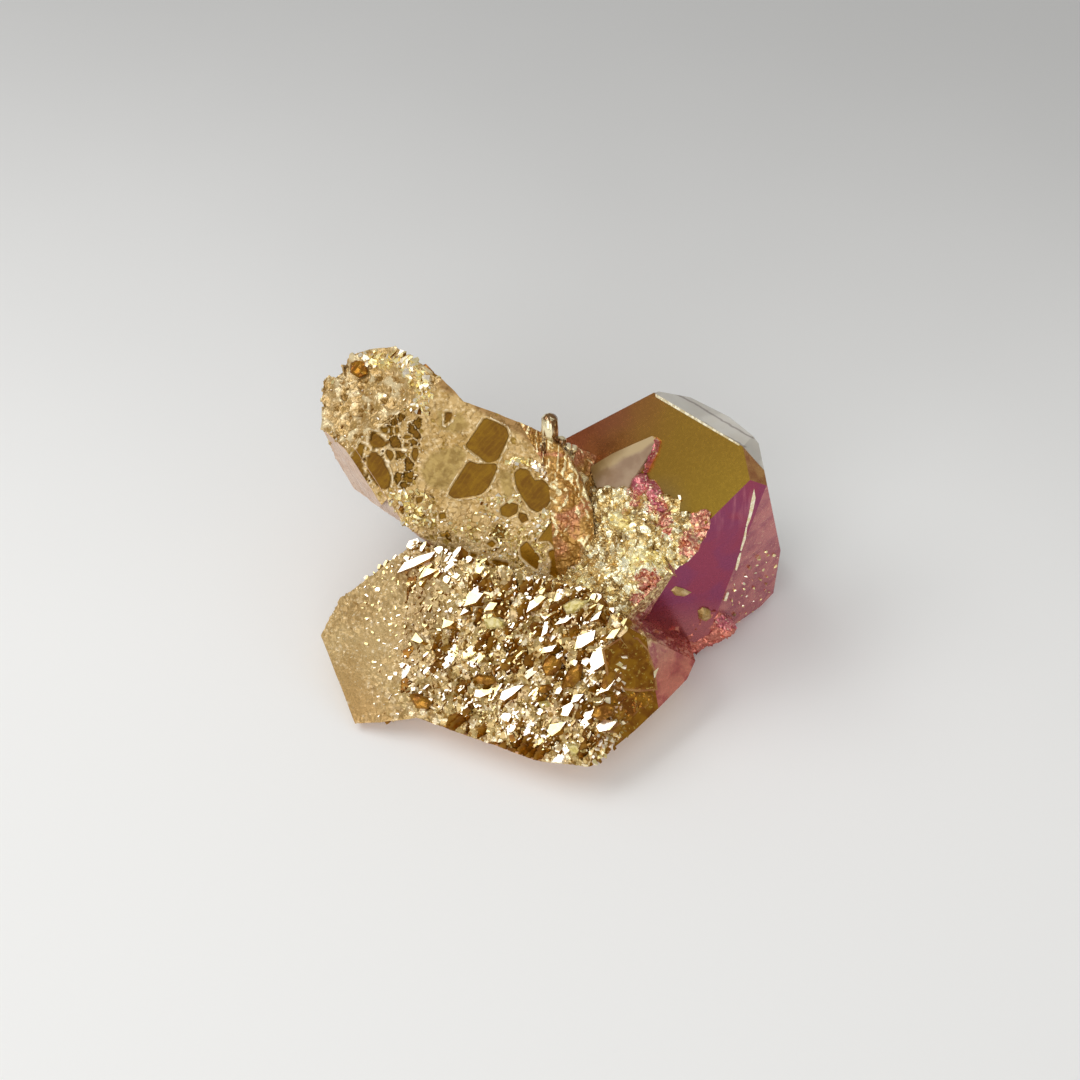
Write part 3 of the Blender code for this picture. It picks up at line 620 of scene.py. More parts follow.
def fanRelief(p):
    x, y = windowFace.flat(p)
    dx, dy = x - fanShape["top"][0], y - fanShape["top"][1]
    angle, reach = np.arctan2(dx, -dy), np.hypot(dx, dy)
    angle = angle + cloudy(p, 3.2, 2, 297) * 0.14 + cloudy(p, 1.1, 2, 299) * 0.03
    level = np.zeros(len(x))
    streak = cloudy(np.stack([angle * fanShape["ridges"], reach * 0.22, level], 1), 1.0, 3, 281)
    fine = broken(np.stack([angle * fanShape["fineRidges"], reach * 0.35, level], 1), 1.0, 0.2, 0.3, 287, flat=True)
    ridges = (np.abs(streak) * 0.3 + fine * 0.16) * ramp(reach, 0.5, 4.0)
    return cloudy(p, 4.0, 2, 289) * 0.3 + ridges + broken(p, 0.9, 0.6, 0.15, 293) * 0.35, {"streak": streak}


def gentle(p):
    return broken(p, 1.1, 0.35, 0.08, 441) * 0.6 + cloudy(p, 2.0, 3, 443) * 0.14, {}


def crumple(p):
    return broken(p, 0.7, 0.8, 0.2, 411) * 0.6 + broken(p, 0.35, 0.8, 0.1, 417) * 0.5, {}


def faint(p):
    return cloudy(p, 0.8, 2, 431) * 0.05, {}


reliefs = {
    "etched": etchedRelief,
    "tip": tipRelief,
    "side": lambda p: (cloudy(p, 3.0, 3, 101) * 0.16, {}),
    "band": lambda p: (cloudy(p, 4.0, 3, 131) * 0.14, {}),
    "frosted": frostedRelief,
    "sparkle": sparkleRelief,
    "crust": crustRelief,
    "pinkCrust": lambda p: (crustRelief(p)[0] * 0.5, {}),
    "fan": fanRelief,
    "under": lambda p: (cloudy(p, 3.0, 3, 307) * 0.16 + broken(p, 1.6, 0.3, 0.1, 301) * 0.3, {}),
}
# The side in mm of the triangles on each finish.
grid = {
    "etched": 0.23, "tip": 0.25, "side": 0.6, "band": 0.6, "frosted": 0.34, "sparkle": 0.2, "crust": 0.2,
    "pinkCrust": 0.3, "fan": 0.2, "under": 0.6, "olive": 1.2, "magenta": 1.2, "rose": 1.2, "roseUnder": 1.0,
    "strip": 1.0, "amber": 1.0, "pink": 1.0, "clear": 1.5, "back": 1.4, "inner": 3.0, "resting": 4.0,
}


def loopEdges(start, count):
    return [(start + i, start + (i + 1) % count) for i in range(count)]


def keptInside(net, outline, gap):
    net = net[insideOutline(outline, *net.T)]
    return net[outlineDistance(outline, *net.T) > gap]


# A face that lies on no facet is a break: worn at the far left end, and plain at the back.
breaks = {"level": 0.9999, "near": 0.02, "wornLeftOf": -20, "wornAbove": 15}


def facetOfFace(face, planes):
    centre = face.calc_center_median()

    def gap(plane):
        return abs((centre - plane.origin).dot(plane.normal))

    best = max(planes, key=lambda plane: face.normal.dot(plane.normal) * 100 - gap(plane))
    if face.normal.dot(best.normal) >= breaks["level"] and gap(best) <= breaks["near"]:
        return best
    worn = centre.x < breaks["wornLeftOf"] and centre.z > breaks["wornAbove"]
    return freePlane(centre, face.normal.copy(), "tip" if worn else "back")


def windowLines(plane, outline, net):
    # keeps the net off the window walls, and gives the walls' own lines instead
    far = windowDistance(*windowFace.flat(np.array([plane.at(a, b) for a, b in net])))
    rings = []
    for drawn in windowRings.values():
        ring = np.stack(plane.flat(np.array([windowFace.at(a, b) for a, b in drawn])), 1)
        if insideOutline(outline, *ring.T).all() and outlineDistance(outline, *ring.T).min() >= 0.1:
            inward = ring.mean(0) - ring
            inward /= np.linalg.norm(inward, axis=1)[:, None] + 1e-9
            rings += [ring, ring + inward * windows["wall"] * 1.15]
    return net[(np.abs(far) > 0.1) & (np.abs(far + windows["wall"]) > 0.08)], rings


def splitPolygons(mesh):
    # gives every polygon of the joined body its facet, and fills it with an even net of points
    planes = [facetPlane(c, f) for c, shape in crystals.items() for f in shape["facets"]]
    planes.append(freePlane(ridgePoint, ridgeNormal, "inner"))
    planes.append(FacetPlane(Vector(), facing(0, -90), facing(90, 0), "resting"))
    bm = bmesh.new()
    bm.from_mesh(mesh)
    bmesh.ops.remove_doubles(bm, verts=bm.verts, dist=1e-4)
    bm.normal_update()
    for kind in (bm.verts, bm.edges, bm.faces):
        kind.index_update()
    facets = [facetOfFace(face, planes) for face in bm.faces]
    points = [tuple(vert.co) for vert in bm.verts]
    onEdge = {}
    for edge in bm.edges:
        side = min(grid[facets[face.index].finish] for face in edge.link_faces)
        pieces = max(1, math.ceil(edge.calc_length() / side))
        a, b = edge.verts
        added = range(len(points), len(points) + pieces - 1)
        points += [tuple(a.co.lerp(b.co, number / pieces)) for number in range(1, pieces)]
        onEdge[edge.index] = [a.index, *added, b.index]
    triangles, facetNumbers = [], []
    rng = np.random.default_rng(7)
    for face, plane in zip(bm.faces, facets):
        loop = []
        for corner in face.loops:
            run = onEdge[corner.edge.index]
            loop += run[:-1] if run[0] == corner.vert.index else run[:0:-1]
        x, y = plane.flat(np.array([points[i] for i in loop]))
        outline = list(zip(x, y))
        side = grid[plane.finish]
        net = []
        for number, row in enumerate(np.arange(y.min() - side, y.max() + side, side * 0.866)):
            columns = np.arange(x.min() - side + (number % 2) * side / 2, x.max() + side, side)
            net.append(np.stack([columns, np.full(len(columns), row)], 1))
        net = np.concatenate(net)
        net = keptInside(net + rng.uniform(-0.16, 0.16, net.shape) * side, outline, side * 0.45)
        rings = []
        if plane.finish == "etched" and len(net):
            net, rings = windowLines(plane, outline, net)
        flat, edges = outline + list(net), loopEdges(0, len(outline))
        for ring in rings:
            edges += loopEdges(len(flat), len(ring))
            flat += list(ring)
        outVerts, _, outFaces, origins, _, _ = delaunay_2d_cdt([Vector(p) for p in flat], edges, [], 1, 1e-6)
        numbers = []
        for co, origin in zip(outVerts, origins):
            if origin and min(origin) < len(loop):
                numbers.append(loop[min(origin)])
            else:
                numbers.append(len(points))
                points.append(tuple(plane.at(co.x, co.y)))
        triangles += [[numbers[i] for i in triangle] for triangle in outFaces]
        facetNumbers += [face.index] * len(outFaces)
    bm.free()
    return np.array(points), np.array(triangles), np.array(facetNumbers), facets


def raiseRelief(points, triangles, facetNumbers, facets, easeOver=0.5):
    push, count, ease = np.zeros_like(points), np.zeros(len(points)), np.ones(len(points))
    marks = {name: np.zeros(len(points)) for name in ("pit", "pale", "window", "calm", "streak")}
    own = [np.unique(triangles[facetNumbers == number]) for number in range(len(facets))]
    # the relief eases down to nothing at facets that stay plain
    plain = [used for plane, used in zip(facets, own) if plane.finish not in reliefs]
    plain = np.unique(np.concatenate(plain))
    tree = KDTree(len(plain))
    for i in plain:
        tree.insert(points[i], i)
    tree.balance()
    for plane, used in zip(facets, own):
        if plane.finish not in reliefs:
            continue
        height, extra = reliefs[plane.finish](points[used])
        push[used] += height[:, None] * np.array(plane.normal)
        count[used] += 1
        for name, values in extra.items():
            marks[name][used] = values if name == "streak" else np.maximum(marks[name][used], values)
        far = np.array([tree.find(points[i])[2] for i in used])
        ease[used] = np.minimum(ease[used], ramp(far, 0.0, easeOver))
    moved = points + push / np.maximum(count, 1)[:, None] * ease[:, None]
    moved[:, 2] = np.maximum(moved[:, 2], 0.0)
    return moved, marks


body = coatedBody()
points, triangles, facetNumbers, facets = splitPolygons(body.data)
print("body split:", len(points), "points,", len(triangles), "triangles")
moved, marks = raiseRelief(points, triangles, facetNumbers, facets)
print("relief raised")


class Wire:  # one socket of a node tree, with arithmetic
    def __init__(self, tree, socket=None):
        self.tree, self.socket = tree, socket

    def node(self, kind, settings=None, inputs=None, out=0):
        made = self.tree.nodes.new(kind)
        for name, value in (settings or {}).items():
            setattr(made, name, value)
        for name, value in (inputs or {}).items():
            if isinstance(value, Wire):
                self.tree.links.new(made.inputs[name], value.socket)
            else:
                made.inputs[name].default_value = value
        return Wire(self.tree, made.outputs[out])

    def sibling(self, name):
        return Wire(self.tree, self.socket.node.outputs[name])

    def maths(self, operation, *values):
        return self.node("ShaderNodeMath", {"operation": operation}, dict(enumerate(values)))

    def __add__(self, other):
        return self.maths("ADD", self, other)

    def __sub__(self, other):
        return self.maths("SUBTRACT", self, other)

    def __rsub__(self, other):
        return self.maths("SUBTRACT", other, self)

    def __mul__(self, other):
        return self.maths("MULTIPLY", self, other)

    def __truediv__(self, other):
        return self.maths("DIVIDE", self, other)

    def __rtruediv__(self, other):
        return self.maths("DIVIDE", other, self)

    __radd__, __rmul__ = __add__, __mul__

    def smooth(self, low, high, start=0.0, end=1.0):
        limits = {"Value": self, 1: low, 2: high, 3: start, 4: end}
        return self.node("ShaderNodeMapRange", {"interpolation_type": "SMOOTHSTEP"}, limits)

    def mix(self, first, second):
        inputs = {0: self, 6: opaque(first), 7: opaque(second)}
        return self.node("ShaderNodeMix", {"data_type": "RGBA"}, inputs, 2)

    def vector(self, operation, *values, out=0):
        return self.node("ShaderNodeVectorMath", {"operation": operation}, dict(enumerate(values)), out)

    def dot(self, other):
        return self.vector("DOT_PRODUCT", self, other, out=1)

    def noise(self, size, detail=3.0, twist=0.0):
        inputs = {"Vector": self, "Scale": 1.0 / size, "Detail": detail, "Distortion": twist}
        return self.node("ShaderNodeTexNoise", None, inputs)

    def warped(self, size, reach):
        twist = self.noise(size, 2).sibling("Color")
        return self.vector("MULTIPLY_ADD", twist, (reach, reach, reach), self)

    def chips(self, size):
        # a colour for each chip, read as three even numbers
        return self.node("ShaderNodeTexVoronoi", {"feature": "F1"}, {"Vector": self, "Scale": 1.0 / size}, "Color")

    def mark(self, name):
        return self.node("ShaderNodeAttribute", {"attribute_name": name}, None, "Fac")

    def bump(self, depth, strength=1.0):
        inputs = {"Height": self, "Distance": depth * layout["metres"], "Strength": strength}
        return self.node("ShaderNodeBump", None, inputs)


def opaque(colour):
    return (*colour, 1.0) if isinstance(colour, tuple) and len(colour) == 3 else colour


def finishMaterial(name, recipe):
    made = bpy.data.materials.new(name)
    made.use_nodes = True
    tree = made.node_tree
    shader = tree.nodes["Principled BSDF"]
    place = Wire(tree).node("ShaderNodeTexCoord", None, None, "Object")
    mm = 1.0 / layout["metres"]
    place = place.vector("MULTIPLY_ADD", place, (mm, mm, mm), layout["middle"])
    for socket, value in recipe(place).items():
        if isinstance(value, Wire):
            tree.links.new(shader.inputs[socket], value.socket)
        else:
            shader.inputs[socket].default_value = opaque(value)
    return made


def along(place, plane, x, y):
    # distance in mm over a facet, in a direction given in its own x and y
    way = plane.across * x + plane.up * y
    return place.dot(tuple(way)) - way.dot(plane.origin)


# The axes of object space, as directions to read a place along.
axisX, axisY, axisZ = (1.0, 0.0, 0.0), (0.0, 1.0, 0.0), (0.0, 0.0, 1.0)
oliveFace = facetPlane("rightPoint", "oliveTipFace")
prismFace = facetPlane("rightPoint", "frontPrism")
clearFace = facetPlane("rightPoint", "clearTop")
tan, deepTan, paleTan, cream = (0.52, 0.345, 0.135), (0.40, 0.24, 0.065), (0.72, 0.54, 0.29), (0.90, 0.77, 0.54)


def finished(skin, metallic, rough, fine, normal, coat=0.0):
    # the sockets that every coated finish sets; rough is its range over the fine grain
    return {
        "Base Color": skin,
        "Metallic": metallic,
        "Roughness": fine.smooth(0.3, 0.7, *rough),
        "Coat Weight": coat,
        "Normal": normal,
    }


def mottled(tones, fine, rough, bump, metallic=0.0, cloud=None, flecks=None, stretch=None, coat=0.0):
    # two tones over clouds, with flecks from the finer grain; bump ends in the noise that it follows
    def recipe(place):
        fineNoise = place.noise(*fine)
        drawn = place.vector("MULTIPLY", place, stretch) if stretch else place
        clouds = drawn.noise(*cloud) if cloud else fineNoise
        low, high, first, second = tones
        skin = clouds.smooth(low, high).mix(first, second)
        if flecks:
            skin = fineNoise.smooth(flecks[0], flecks[1]).mix(skin, flecks[2])
        depth, strength, follows = bump
        normal = (clouds if follows == "cloud" else fineNoise).bump(depth, strength)
        return finished(skin, metallic, rough, fineNoise, normal, coat)

    return recipe


# Noises are (size in mm, detail, twist), tones and flecks (from, to, colours).
mottledFinishes = {
    "side": ("smoothSide", {
        "cloud": (4.0, 4, 0.4), "tones": (0.3, 0.7, deepTan, tan), "fine": (0.8, 4), "flecks": (0.5, 0.8, paleTan),
        "metallic": 0.3, "rough": (0.22, 0.36), "bump": (0.15, 0.5, "cloud"),
    }),
    "band": ("milkyBand", {
        "cloud": (3.4, 4, 0.5), "tones": (0.3, 0.7, (0.50, 0.31, 0.20), (0.60, 0.43, 0.32)), "fine": (0.7, 4),
        "flecks": (0.45, 0.8, (0.68, 0.52, 0.40)), "rough": (0.22, 0.4), "bump": (0.2, 0.5, "cloud"),
    }),
    # brown of the dark panes and windows, also used as painted shade on step sides that face away from the lamps
    "brown": ("brownAndShadedFacet", {
        "cloud": (1.2, 3), "tones": (0.35, 0.65, (0.20, 0.068, 0.002), (0.34, 0.155, 0.010)), "fine": (0.5, 3),
        "metallic": 0.6, "rough": (0.14, 0.26), "bump": (0.04, 0.4, "fine"),
    }),
    "rose": ("roseFace", {
        "cloud": (2.6, 4, 0.6), "tones": (0.35, 0.65, (0.38, 0.085, 0.115), (0.56, 0.18, 0.17)), "fine": (0.5, 4),
        "flecks": (0.55, 0.8, (0.70, 0.36, 0.26)), "metallic": 0.7, "rough": (0.18, 0.3), "bump": (0.2, 0.5, "cloud"),
    }),
    "strip": ("orangeStrip", {
        "cloud": (1.5, 3), "tones": (0.35, 0.65, (0.34, 0.13, 0.04), (0.50, 0.26, 0.08)), "fine": (0.4, 3),
        "metallic": 0.5, "rough": (0.16, 0.3), "bump": (0.08, 0.6, "fine"),
    }),
    "amber": ("amberFace", {
        "cloud": (1.6, 3, 0.5), "tones": (0.35, 0.65, (0.215, 0.068, 0.001), (0.35, 0.155, 0.005)), "fine": (0.5, 3),
        "flecks": (0.58, 0.7, (0.50, 0.34, 0.07)), "metallic": 0.7, "rough": (0.16, 0.28),
        "bump": (0.1, 0.5, "cloud"),
    }),
    "under": ("peachUnderside", {
        "cloud": (3.0, 3, 0.5), "tones": (0.35, 0.65, (0.58, 0.30, 0.14), (0.72, 0.44, 0.24)), "fine": (0.6, 4),
        "flecks": (0.5, 0.8, (0.74, 0.50, 0.34)), "metallic": 0.15, "rough": (0.24, 0.4), "bump": (0.1, 0.5, "fine"),
    }),
    "back": ("backQuartz", {
        "cloud": (5.0, 3, 0.5), "tones": (0.25, 0.75, (0.26, 0.15, 0.03), (0.37, 0.19, 0.09)), "fine": (0.7, 4),
        "flecks": (0.5, 0.8, (0.44, 0.28, 0.10)), "metallic": 0.4, "rough": (0.2, 0.34), "bump": (0.25, 0.5, "cloud"),
    }),
    "ridge": ("rosyRidge", {
        "cloud": (1.2, 3, 0.5), "tones": (0.4, 0.6, (0.42, 0.09, 0.12), (0.62, 0.20, 0.20)), "fine": (0.4, 4),
        "flecks": (0.56, 0.7, (0.95, 0.80, 0.55)), "metallic": 0.6, "rough": (0.16, 0.34),
        "bump": (0.09, 0.7, "fine"),
    }),
    "knob": ("glossyKnob", {
        "cloud": (0.8, 3, 0.6), "stretch": (1.0, 1.0, 0.3), "fine": (0.4, 3), "metallic": 0.7, "rough": (0.05, 0.12),
        "tones": (0.42, 0.56, (0.20, 0.085, 0.01), (0.92, 0.80, 0.50)), "bump": (0.12, 0.5, "cloud"), "coat": 0.8,
    }),
    # pale flakes on the crust, and the painted glint colour of grains on other faces
    "flake": ("paleFlakeAndGlint", {
        "fine": (0.6, 4), "tones": (0.35, 0.7, (0.86, 0.70, 0.30), (0.96, 0.88, 0.55)), "metallic": 0.8,
        "rough": (0.2, 0.36), "bump": (0.08, 0.6, "fine"),
    }),
    # painted highlight: pale slivers along the ridges and on small glints
    "sliver": ("paintedHighlightSliver", {
        "fine": (0.7, 4), "tones": (0.35, 0.7, (0.80, 0.66, 0.38), (0.97, 0.92, 0.72)), "metallic": 0.5,
        "rough": (0.18, 0.34), "bump": (0.08, 0.6, "fine"),
    }),
    "lime": ("limeFacet", {
        "fine": (0.6, 4), "tones": (0.35, 0.7, (0.52, 0.41, 0.11), (0.72, 0.62, 0.32)), "metallic": 0.4,
        "rough": (0.24, 0.4), "bump": (0.06, 0.5, "fine"),
    }),
}


def etchedSkin(place):
    pit, pale, window, calm = (place.mark(name) for name in ("pit", "pale", "window", "calm"))
    cloud, fine = place.noise(3.2), place.noise(0.5, 4)
    skin = cloud.smooth(0.35, 0.65).mix(deepTan, tan)
    skin = fine.smooth(0.45, 0.75).mix(skin, paleTan)
    plateau = place.noise(0.9, 4, 0.5).smooth(0.35, 0.65).mix((0.25, 0.15, 0.03), (0.39, 0.26, 0.075))
    skin = (calm * (1 - fine * 0.35)).smooth(0.1, 0.9).mix(skin, plateau)
    edge = along(place, windowFace, -0.482, -0.876) + 9.87 + cloud * 1.2
    skin = edge.smooth(2.0, 1.2).mix(skin, (0.30, 0.165, 0.05))
    # painted light: lower down the face, where it lies in shade by the stepped ground, the skin is lightened towards
    # cream
    low = (along(place, windowFace, 0, 1) + cloud * 2.0).smooth(-5.5, -10.0)
    skin = (low * 0.6).mix(skin, (0.86, 0.66, 0.36))
    skin = pale.smooth(0.25, 1.0).mix(skin, cream)
    skin = pit.smooth(0.1, 0.7).mix(skin, (0.40, 0.25, 0.05))
    # brown glass in the windows, with fine hatching
    glass = place.noise(1.8, 4, 0.6).smooth(0.35, 0.7).mix((0.105, 0.043, 0.0004), (0.155, 0.075, 0.002))
    hatch = along(place, windowFace, 0.78, -0.62) * 11.0 + cloud * 16.0
    hatch = hatch.maths("SINE", hatch).smooth(0.2, 1.0) * fine.smooth(0.3, 0.6)
    glass = (hatch * 0.3).mix(glass, (0.20, 0.105, 0.004))
    # painted light: the window glass low on the face is lightened too
    glass = low.mix(glass, (0.30, 0.145, 0.008))
    return {
        "Base Color": window.smooth(0.3, 0.8).mix(skin, glass),
        "Metallic": window.smooth(0.0, 1.0, 0.3, 0.7),
        "Roughness": window.smooth(0.2, 1.0, 0.26, 0.24) + fine * 0.08,
        "Specular IOR Level": 0.3,
        "Normal": (place.noise(0.45, 4) * window.smooth(0.2, 0.8, 1.0, 0.25)).bump(0.1, 0.8),
    }


def tipSkin(place):
    fine = place.noise(0.45, 4)
    skin = place.noise(2.4).smooth(0.38, 0.62).mix(deepTan, tan)
    skin = fine.smooth(0.5, 0.75).mix(skin, paleTan)
    skin = place.mark("pale").mix(skin, (0.78, 0.64, 0.38))
    skin = place.mark("pit").smooth(0.2, 0.8).mix(skin, (0.27, 0.14, 0.02))
    return finished(skin, 0.4, (0.16, 0.32), fine, fine.bump(0.1, 0.8))


def groundColour(place):
    # pale and frosted to the left, broken brown and gold to the right
    cloud, fine, speck = place.noise(4.5), place.noise(0.5, 5), place.noise(0.28, 2)
    plain = cloud.smooth(0.3, 0.7).mix((0.40, 0.25, 0.085), (0.48, 0.33, 0.135))
    plain = fine.smooth(0.52, 0.7).mix(plain, (0.60, 0.44, 0.23))
    plain = speck.smooth(0.38, 0.3).mix(plain, (0.36, 0.21, 0.06))
    plain = speck.smooth(0.66, 0.72).mix(plain, cream)
    plain = place.dot(axisZ).smooth(6.0, 1.5).mix(plain, (0.45, 0.27, 0.09))
    warped = place.warped(1.3, 1.0)
    chip, smallChip = warped.chips(1.5), warped.chips(0.62)
    chipped = chip.dot((0.6, 0.4, 0.0)).smooth(0.1, 0.9).mix((0.33, 0.205, 0.045), (0.62, 0.455, 0.19))
    chipped = place.noise(2.2, 3).smooth(0.52, 0.66).mix(chipped, (0.58, 0.41, 0.20))
    chipped = smallChip.dot(axisX).smooth(0.84, 0.88).mix(chipped, (0.27, 0.135, 0.012))
    chipped = smallChip.dot(axisY).smooth(0.82, 0.86).mix(chipped, (0.88, 0.74, 0.48))
    rich = (along(place, sparkleFace, 1, 0) + (cloud - 0.5) * 14.0 + (fine - 0.5) * 6.0).smooth(-18.0, -6.0)
    return rich.mix(plain, chipped), fine, speck, rich.smooth(0.0, 1.0, 0.35, 0.5)


def frostedSkin(place):
    skin, fine, speck, metallic = groundColour(place)
    made = finished(place.mark("pale").mix(skin, cream), metallic, (0.34, 0.18), speck, fine.bump(0.1, 0.8))
    return {**made, "Roughness": speck.smooth(0.4, 0.7, 0.34, 0.18)}


def sparkleSkin(place):
    skin, fine, _, metallic = groundColour(place)
    return finished(skin, metallic, (0.14, 0.3), fine, fine.bump(0.06, 0.6), 0.3)


# Painted glint: a near-white gold. The faces that get it mostly mirror the glint lamp as well, and whole grains in it
# stand for glints whichever way they face.
def paintedGlintSkin(place):
    fine, tone = place.noise(0.7, 3), place.chips(2.2).dot(axisX)
    skin = fine.smooth(0.35, 0.7).mix((0.93, 0.80, 0.60), (1.0, 0.94, 0.82))
    skin = tone.smooth(0.6, 0.75).mix(skin, (0.86, 0.72, 0.34))
    made = finished(skin, 0.85, (0.16, 0.3), fine, fine.bump(0.03, 0.4))
    return {**made, "Roughness": made["Roughness"] + tone * 0.06}


# Rosy spots, and the spots of painted highlight on the crust, are (middle in mm, reach).
rosySpots = [
    ((14.3, -2.4, 25), 1.3), ((15, -4.4, 24.3), 1.2), ((16, -6.5, 23.8), 1.2), ((16.5, -8.4, 23), 1),
    ((12, -2.6, 23.7), 1.3), ((10.2, -3.7, 22.1), 1.2), ((20.5, -7.3, 25.7), 1.4), ((21, -9.2, 25), 1.5),
    ((19.2, -10.4, 23.4), 1.4), ((14.2, -12.8, 18.2), 1.9), ((15.8, -13.6, 17.7), 1.8), ((12.9, -14.2, 16.9), 1.1),
]
paintedCrustHighlightSpots = [
    ((12.5, -10.1, 20.1), 2.2), ((14.9, -10.9, 19.7), 1.6), ((10.6, -10.3, 19.8), 1.6), ((9.4, -4.4, 21.3), 1.5),
    ((11.1, -5.9, 21.4), 1.5), ((8.8, -0.4, 23.1), 1),
]


def nearest(place, spots):
    near = None
    for middle, reach in spots:
        far = place.vector("DISTANCE", place, middle, out=1) / reach
        near = far if near is None else near.maths("MINIMUM", near, far)
    return near


def crustSkin(place):
    cloud, fine, patch = place.noise(1.6, 3), place.noise(0.42, 4), place.noise(1.8, 3, 0.8)
    chip = place.warped(1.0, 1.2).chips(0.8)
    skin = cloud.smooth(0.4, 0.6).mix((0.34, 0.215, 0.07), (0.70, 0.51, 0.21))
    skin = chip.dot(axisX).smooth(0.55, 0.8).mix(skin, (0.97, 0.90, 0.62))
    skin = fine.smooth(0.55, 0.7).mix(skin, (0.90, 0.78, 0.46))
    # painted highlight: near-white patches where the crust catches the light
    paintedCrustHighlight = (nearest(place, paintedCrustHighlightSpots) + (patch - 0.5) * 2.0).smooth(1.2, 0.7)
    skin = (paintedCrustHighlight * fine.smooth(0.3, 0.55)).mix(skin, (1.0, 0.95, 0.68))
    rosy = (nearest(place, rosySpots) + (patch - 0.5) * 2.2 + (fine - 0.5) * 1.2).smooth(1.1, 0.8)
    skin = rosy.mix(skin, fine.smooth(0.4, 0.65).mix((0.46, 0.15, 0.11), (0.84, 0.52, 0.32)))
    return finished(skin, 0.75, (0.16, 0.3), fine, fine.bump(0.12, 0.8))


def fanSkin(place):
    streak, fine = place.mark("streak"), place.noise(0.6, 4)
    skin = streak.smooth(-0.5, 0.5).mix((0.38, 0.19, 0.035), (0.52, 0.30, 0.085))
    skin = place.noise(3.4, 3, 0.6).smooth(0.48, 0.66).mix(skin, (0.50, 0.21, 0.095))
    skin = (streak + fine).smooth(0.78, 0.95).mix(skin, (0.88, 0.74, 0.42))
    return finished(skin, 0.55, (0.2, 0.36), fine, fine.bump(0.08, 0.6))


def oliveSkin(place):
    toRight, upward = along(place, oliveFace, 1, 0), along(place, oliveFace, 0, 1)
    cloud, fine = place.noise(5.0, 3, 0.6), place.noise(0.4, 3)
    skin = (toRight + cloud * 5.0).smooth(-13.0, 1.0).mix((0.31, 0.10, 0.045), (0.36, 0.20, 0.026))
    skin = (toRight - upward * 0.4 + cloud * 4.0).smooth(-4.0, 9.0).mix(skin, (0.43, 0.26, 0.03))
    middle = tuple(oliveFace.at(2.0, 2.5))
    grey = (place.vector("DISTANCE", place, middle, out=1) + cloud * 3.0).smooth(7.5, 2.5)
    skin = (grey * 0.7).mix(skin, (0.29, 0.185, 0.07))
    return finished(skin, 0.8, (0.2, 0.28), fine, cloud.bump(0.05, 0.3))


def magentaSkin(place):
    cloud, fine = place.noise(5.0, 3, 0.5), place.noise(0.6, 3)
    skin = cloud.smooth(0.4, 0.62).mix((0.32, 0.052, 0.10), (0.28, 0.052, 0.12))
    skin = along(place, prismFace, -0.3, -1).smooth(4.0, 11.0).mix(skin, (0.46, 0.14, 0.15))
    streak = place.vector("MULTIPLY", place, (1.0, 1.0, 0.12)).noise(0.9, 3).smooth(0.5, 0.75)
    streak = streak * along(place, prismFace, 0, 1).smooth(4.0, 13.0)
    skin = (streak * 0.6).mix(skin, (0.58, 0.20, 0.24))
    return finished(skin, 0.8, (0.24, 0.34), fine, cloud.bump(0.06, 0.4))


def pinkSkin(place):
    cloud, fine, rise = place.noise(2.0, 4, 0.6), place.noise(0.5, 4), place.dot(axisZ)
    skin = cloud.smooth(0.35, 0.65).mix((0.44, 0.13, 0.14), (0.60, 0.28, 0.20))
    skin = fine.smooth(0.54, 0.7).mix(skin, (0.72, 0.42, 0.27))
    gilt = fine.smooth(0.4, 0.6).mix((0.46, 0.29, 0.10), (0.84, 0.66, 0.34))
    skin = (rise + cloud * 5.0).smooth(14.5, 17.0).mix(skin, gilt)
    deep = cloud.smooth(0.35, 0.6).mix((0.43, 0.105, 0.09), (0.60, 0.20, 0.14))
    skin = rise.smooth(12.5, 8.0).mix(skin, deep)
    return finished(skin, 0.7, (0.2, 0.34), fine, cloud.bump(0.25, 0.6))


def clearSkin(place):
    cloud = place.noise(2.0, 3)
    # growth lines close under the top face
    lines = along(place, oliveFace, -0.178, 0.984) * 5.0 + cloud * 2.0
    depth = place.dot(tuple(clearFace.normal)) - clearFace.normal.dot(clearFace.origin)
    lines = lines.maths("SINE", lines).smooth(0.8, 1.0) * depth.smooth(-0.4, -0.1)
    skin = cloud.smooth(0.3, 0.7).mix((0.95, 0.90, 0.80), (1.0, 0.97, 0.90))
    return {
        "Base Color": lines.mix(skin, (0.50, 0.45, 0.42)),
        "Roughness": cloud.smooth(0.3, 0.7, 0.04, 0.2),
        "Transmission Weight": 0.58,
        "IOR": 1.54,
        "Normal": cloud.bump(0.06, 0.3),
    }


def bladeSkin(place):
    cloud, fine = place.noise(2.0, 3), place.noise(0.5, 3)
    skin = cloud.smooth(0.3, 0.7).mix((0.31, 0.20, 0.125), (0.40, 0.28, 0.18))
    edge = along(place, oliveFace, -0.87, 0.5) + cloud * 1.2
    skin = edge.smooth(8.4, 9.2).mix(skin, (0.50, 0.37, 0.20))
    left = along(place, oliveFace, 1, 0) + cloud * 2.0
    skin = left.smooth(-5.6, -9.0).mix(skin, (0.24, 0.145, 0.05))
    return finished(skin, 0.15, (0.16, 0.26), fine, cloud.bump(0.08, 0.4))


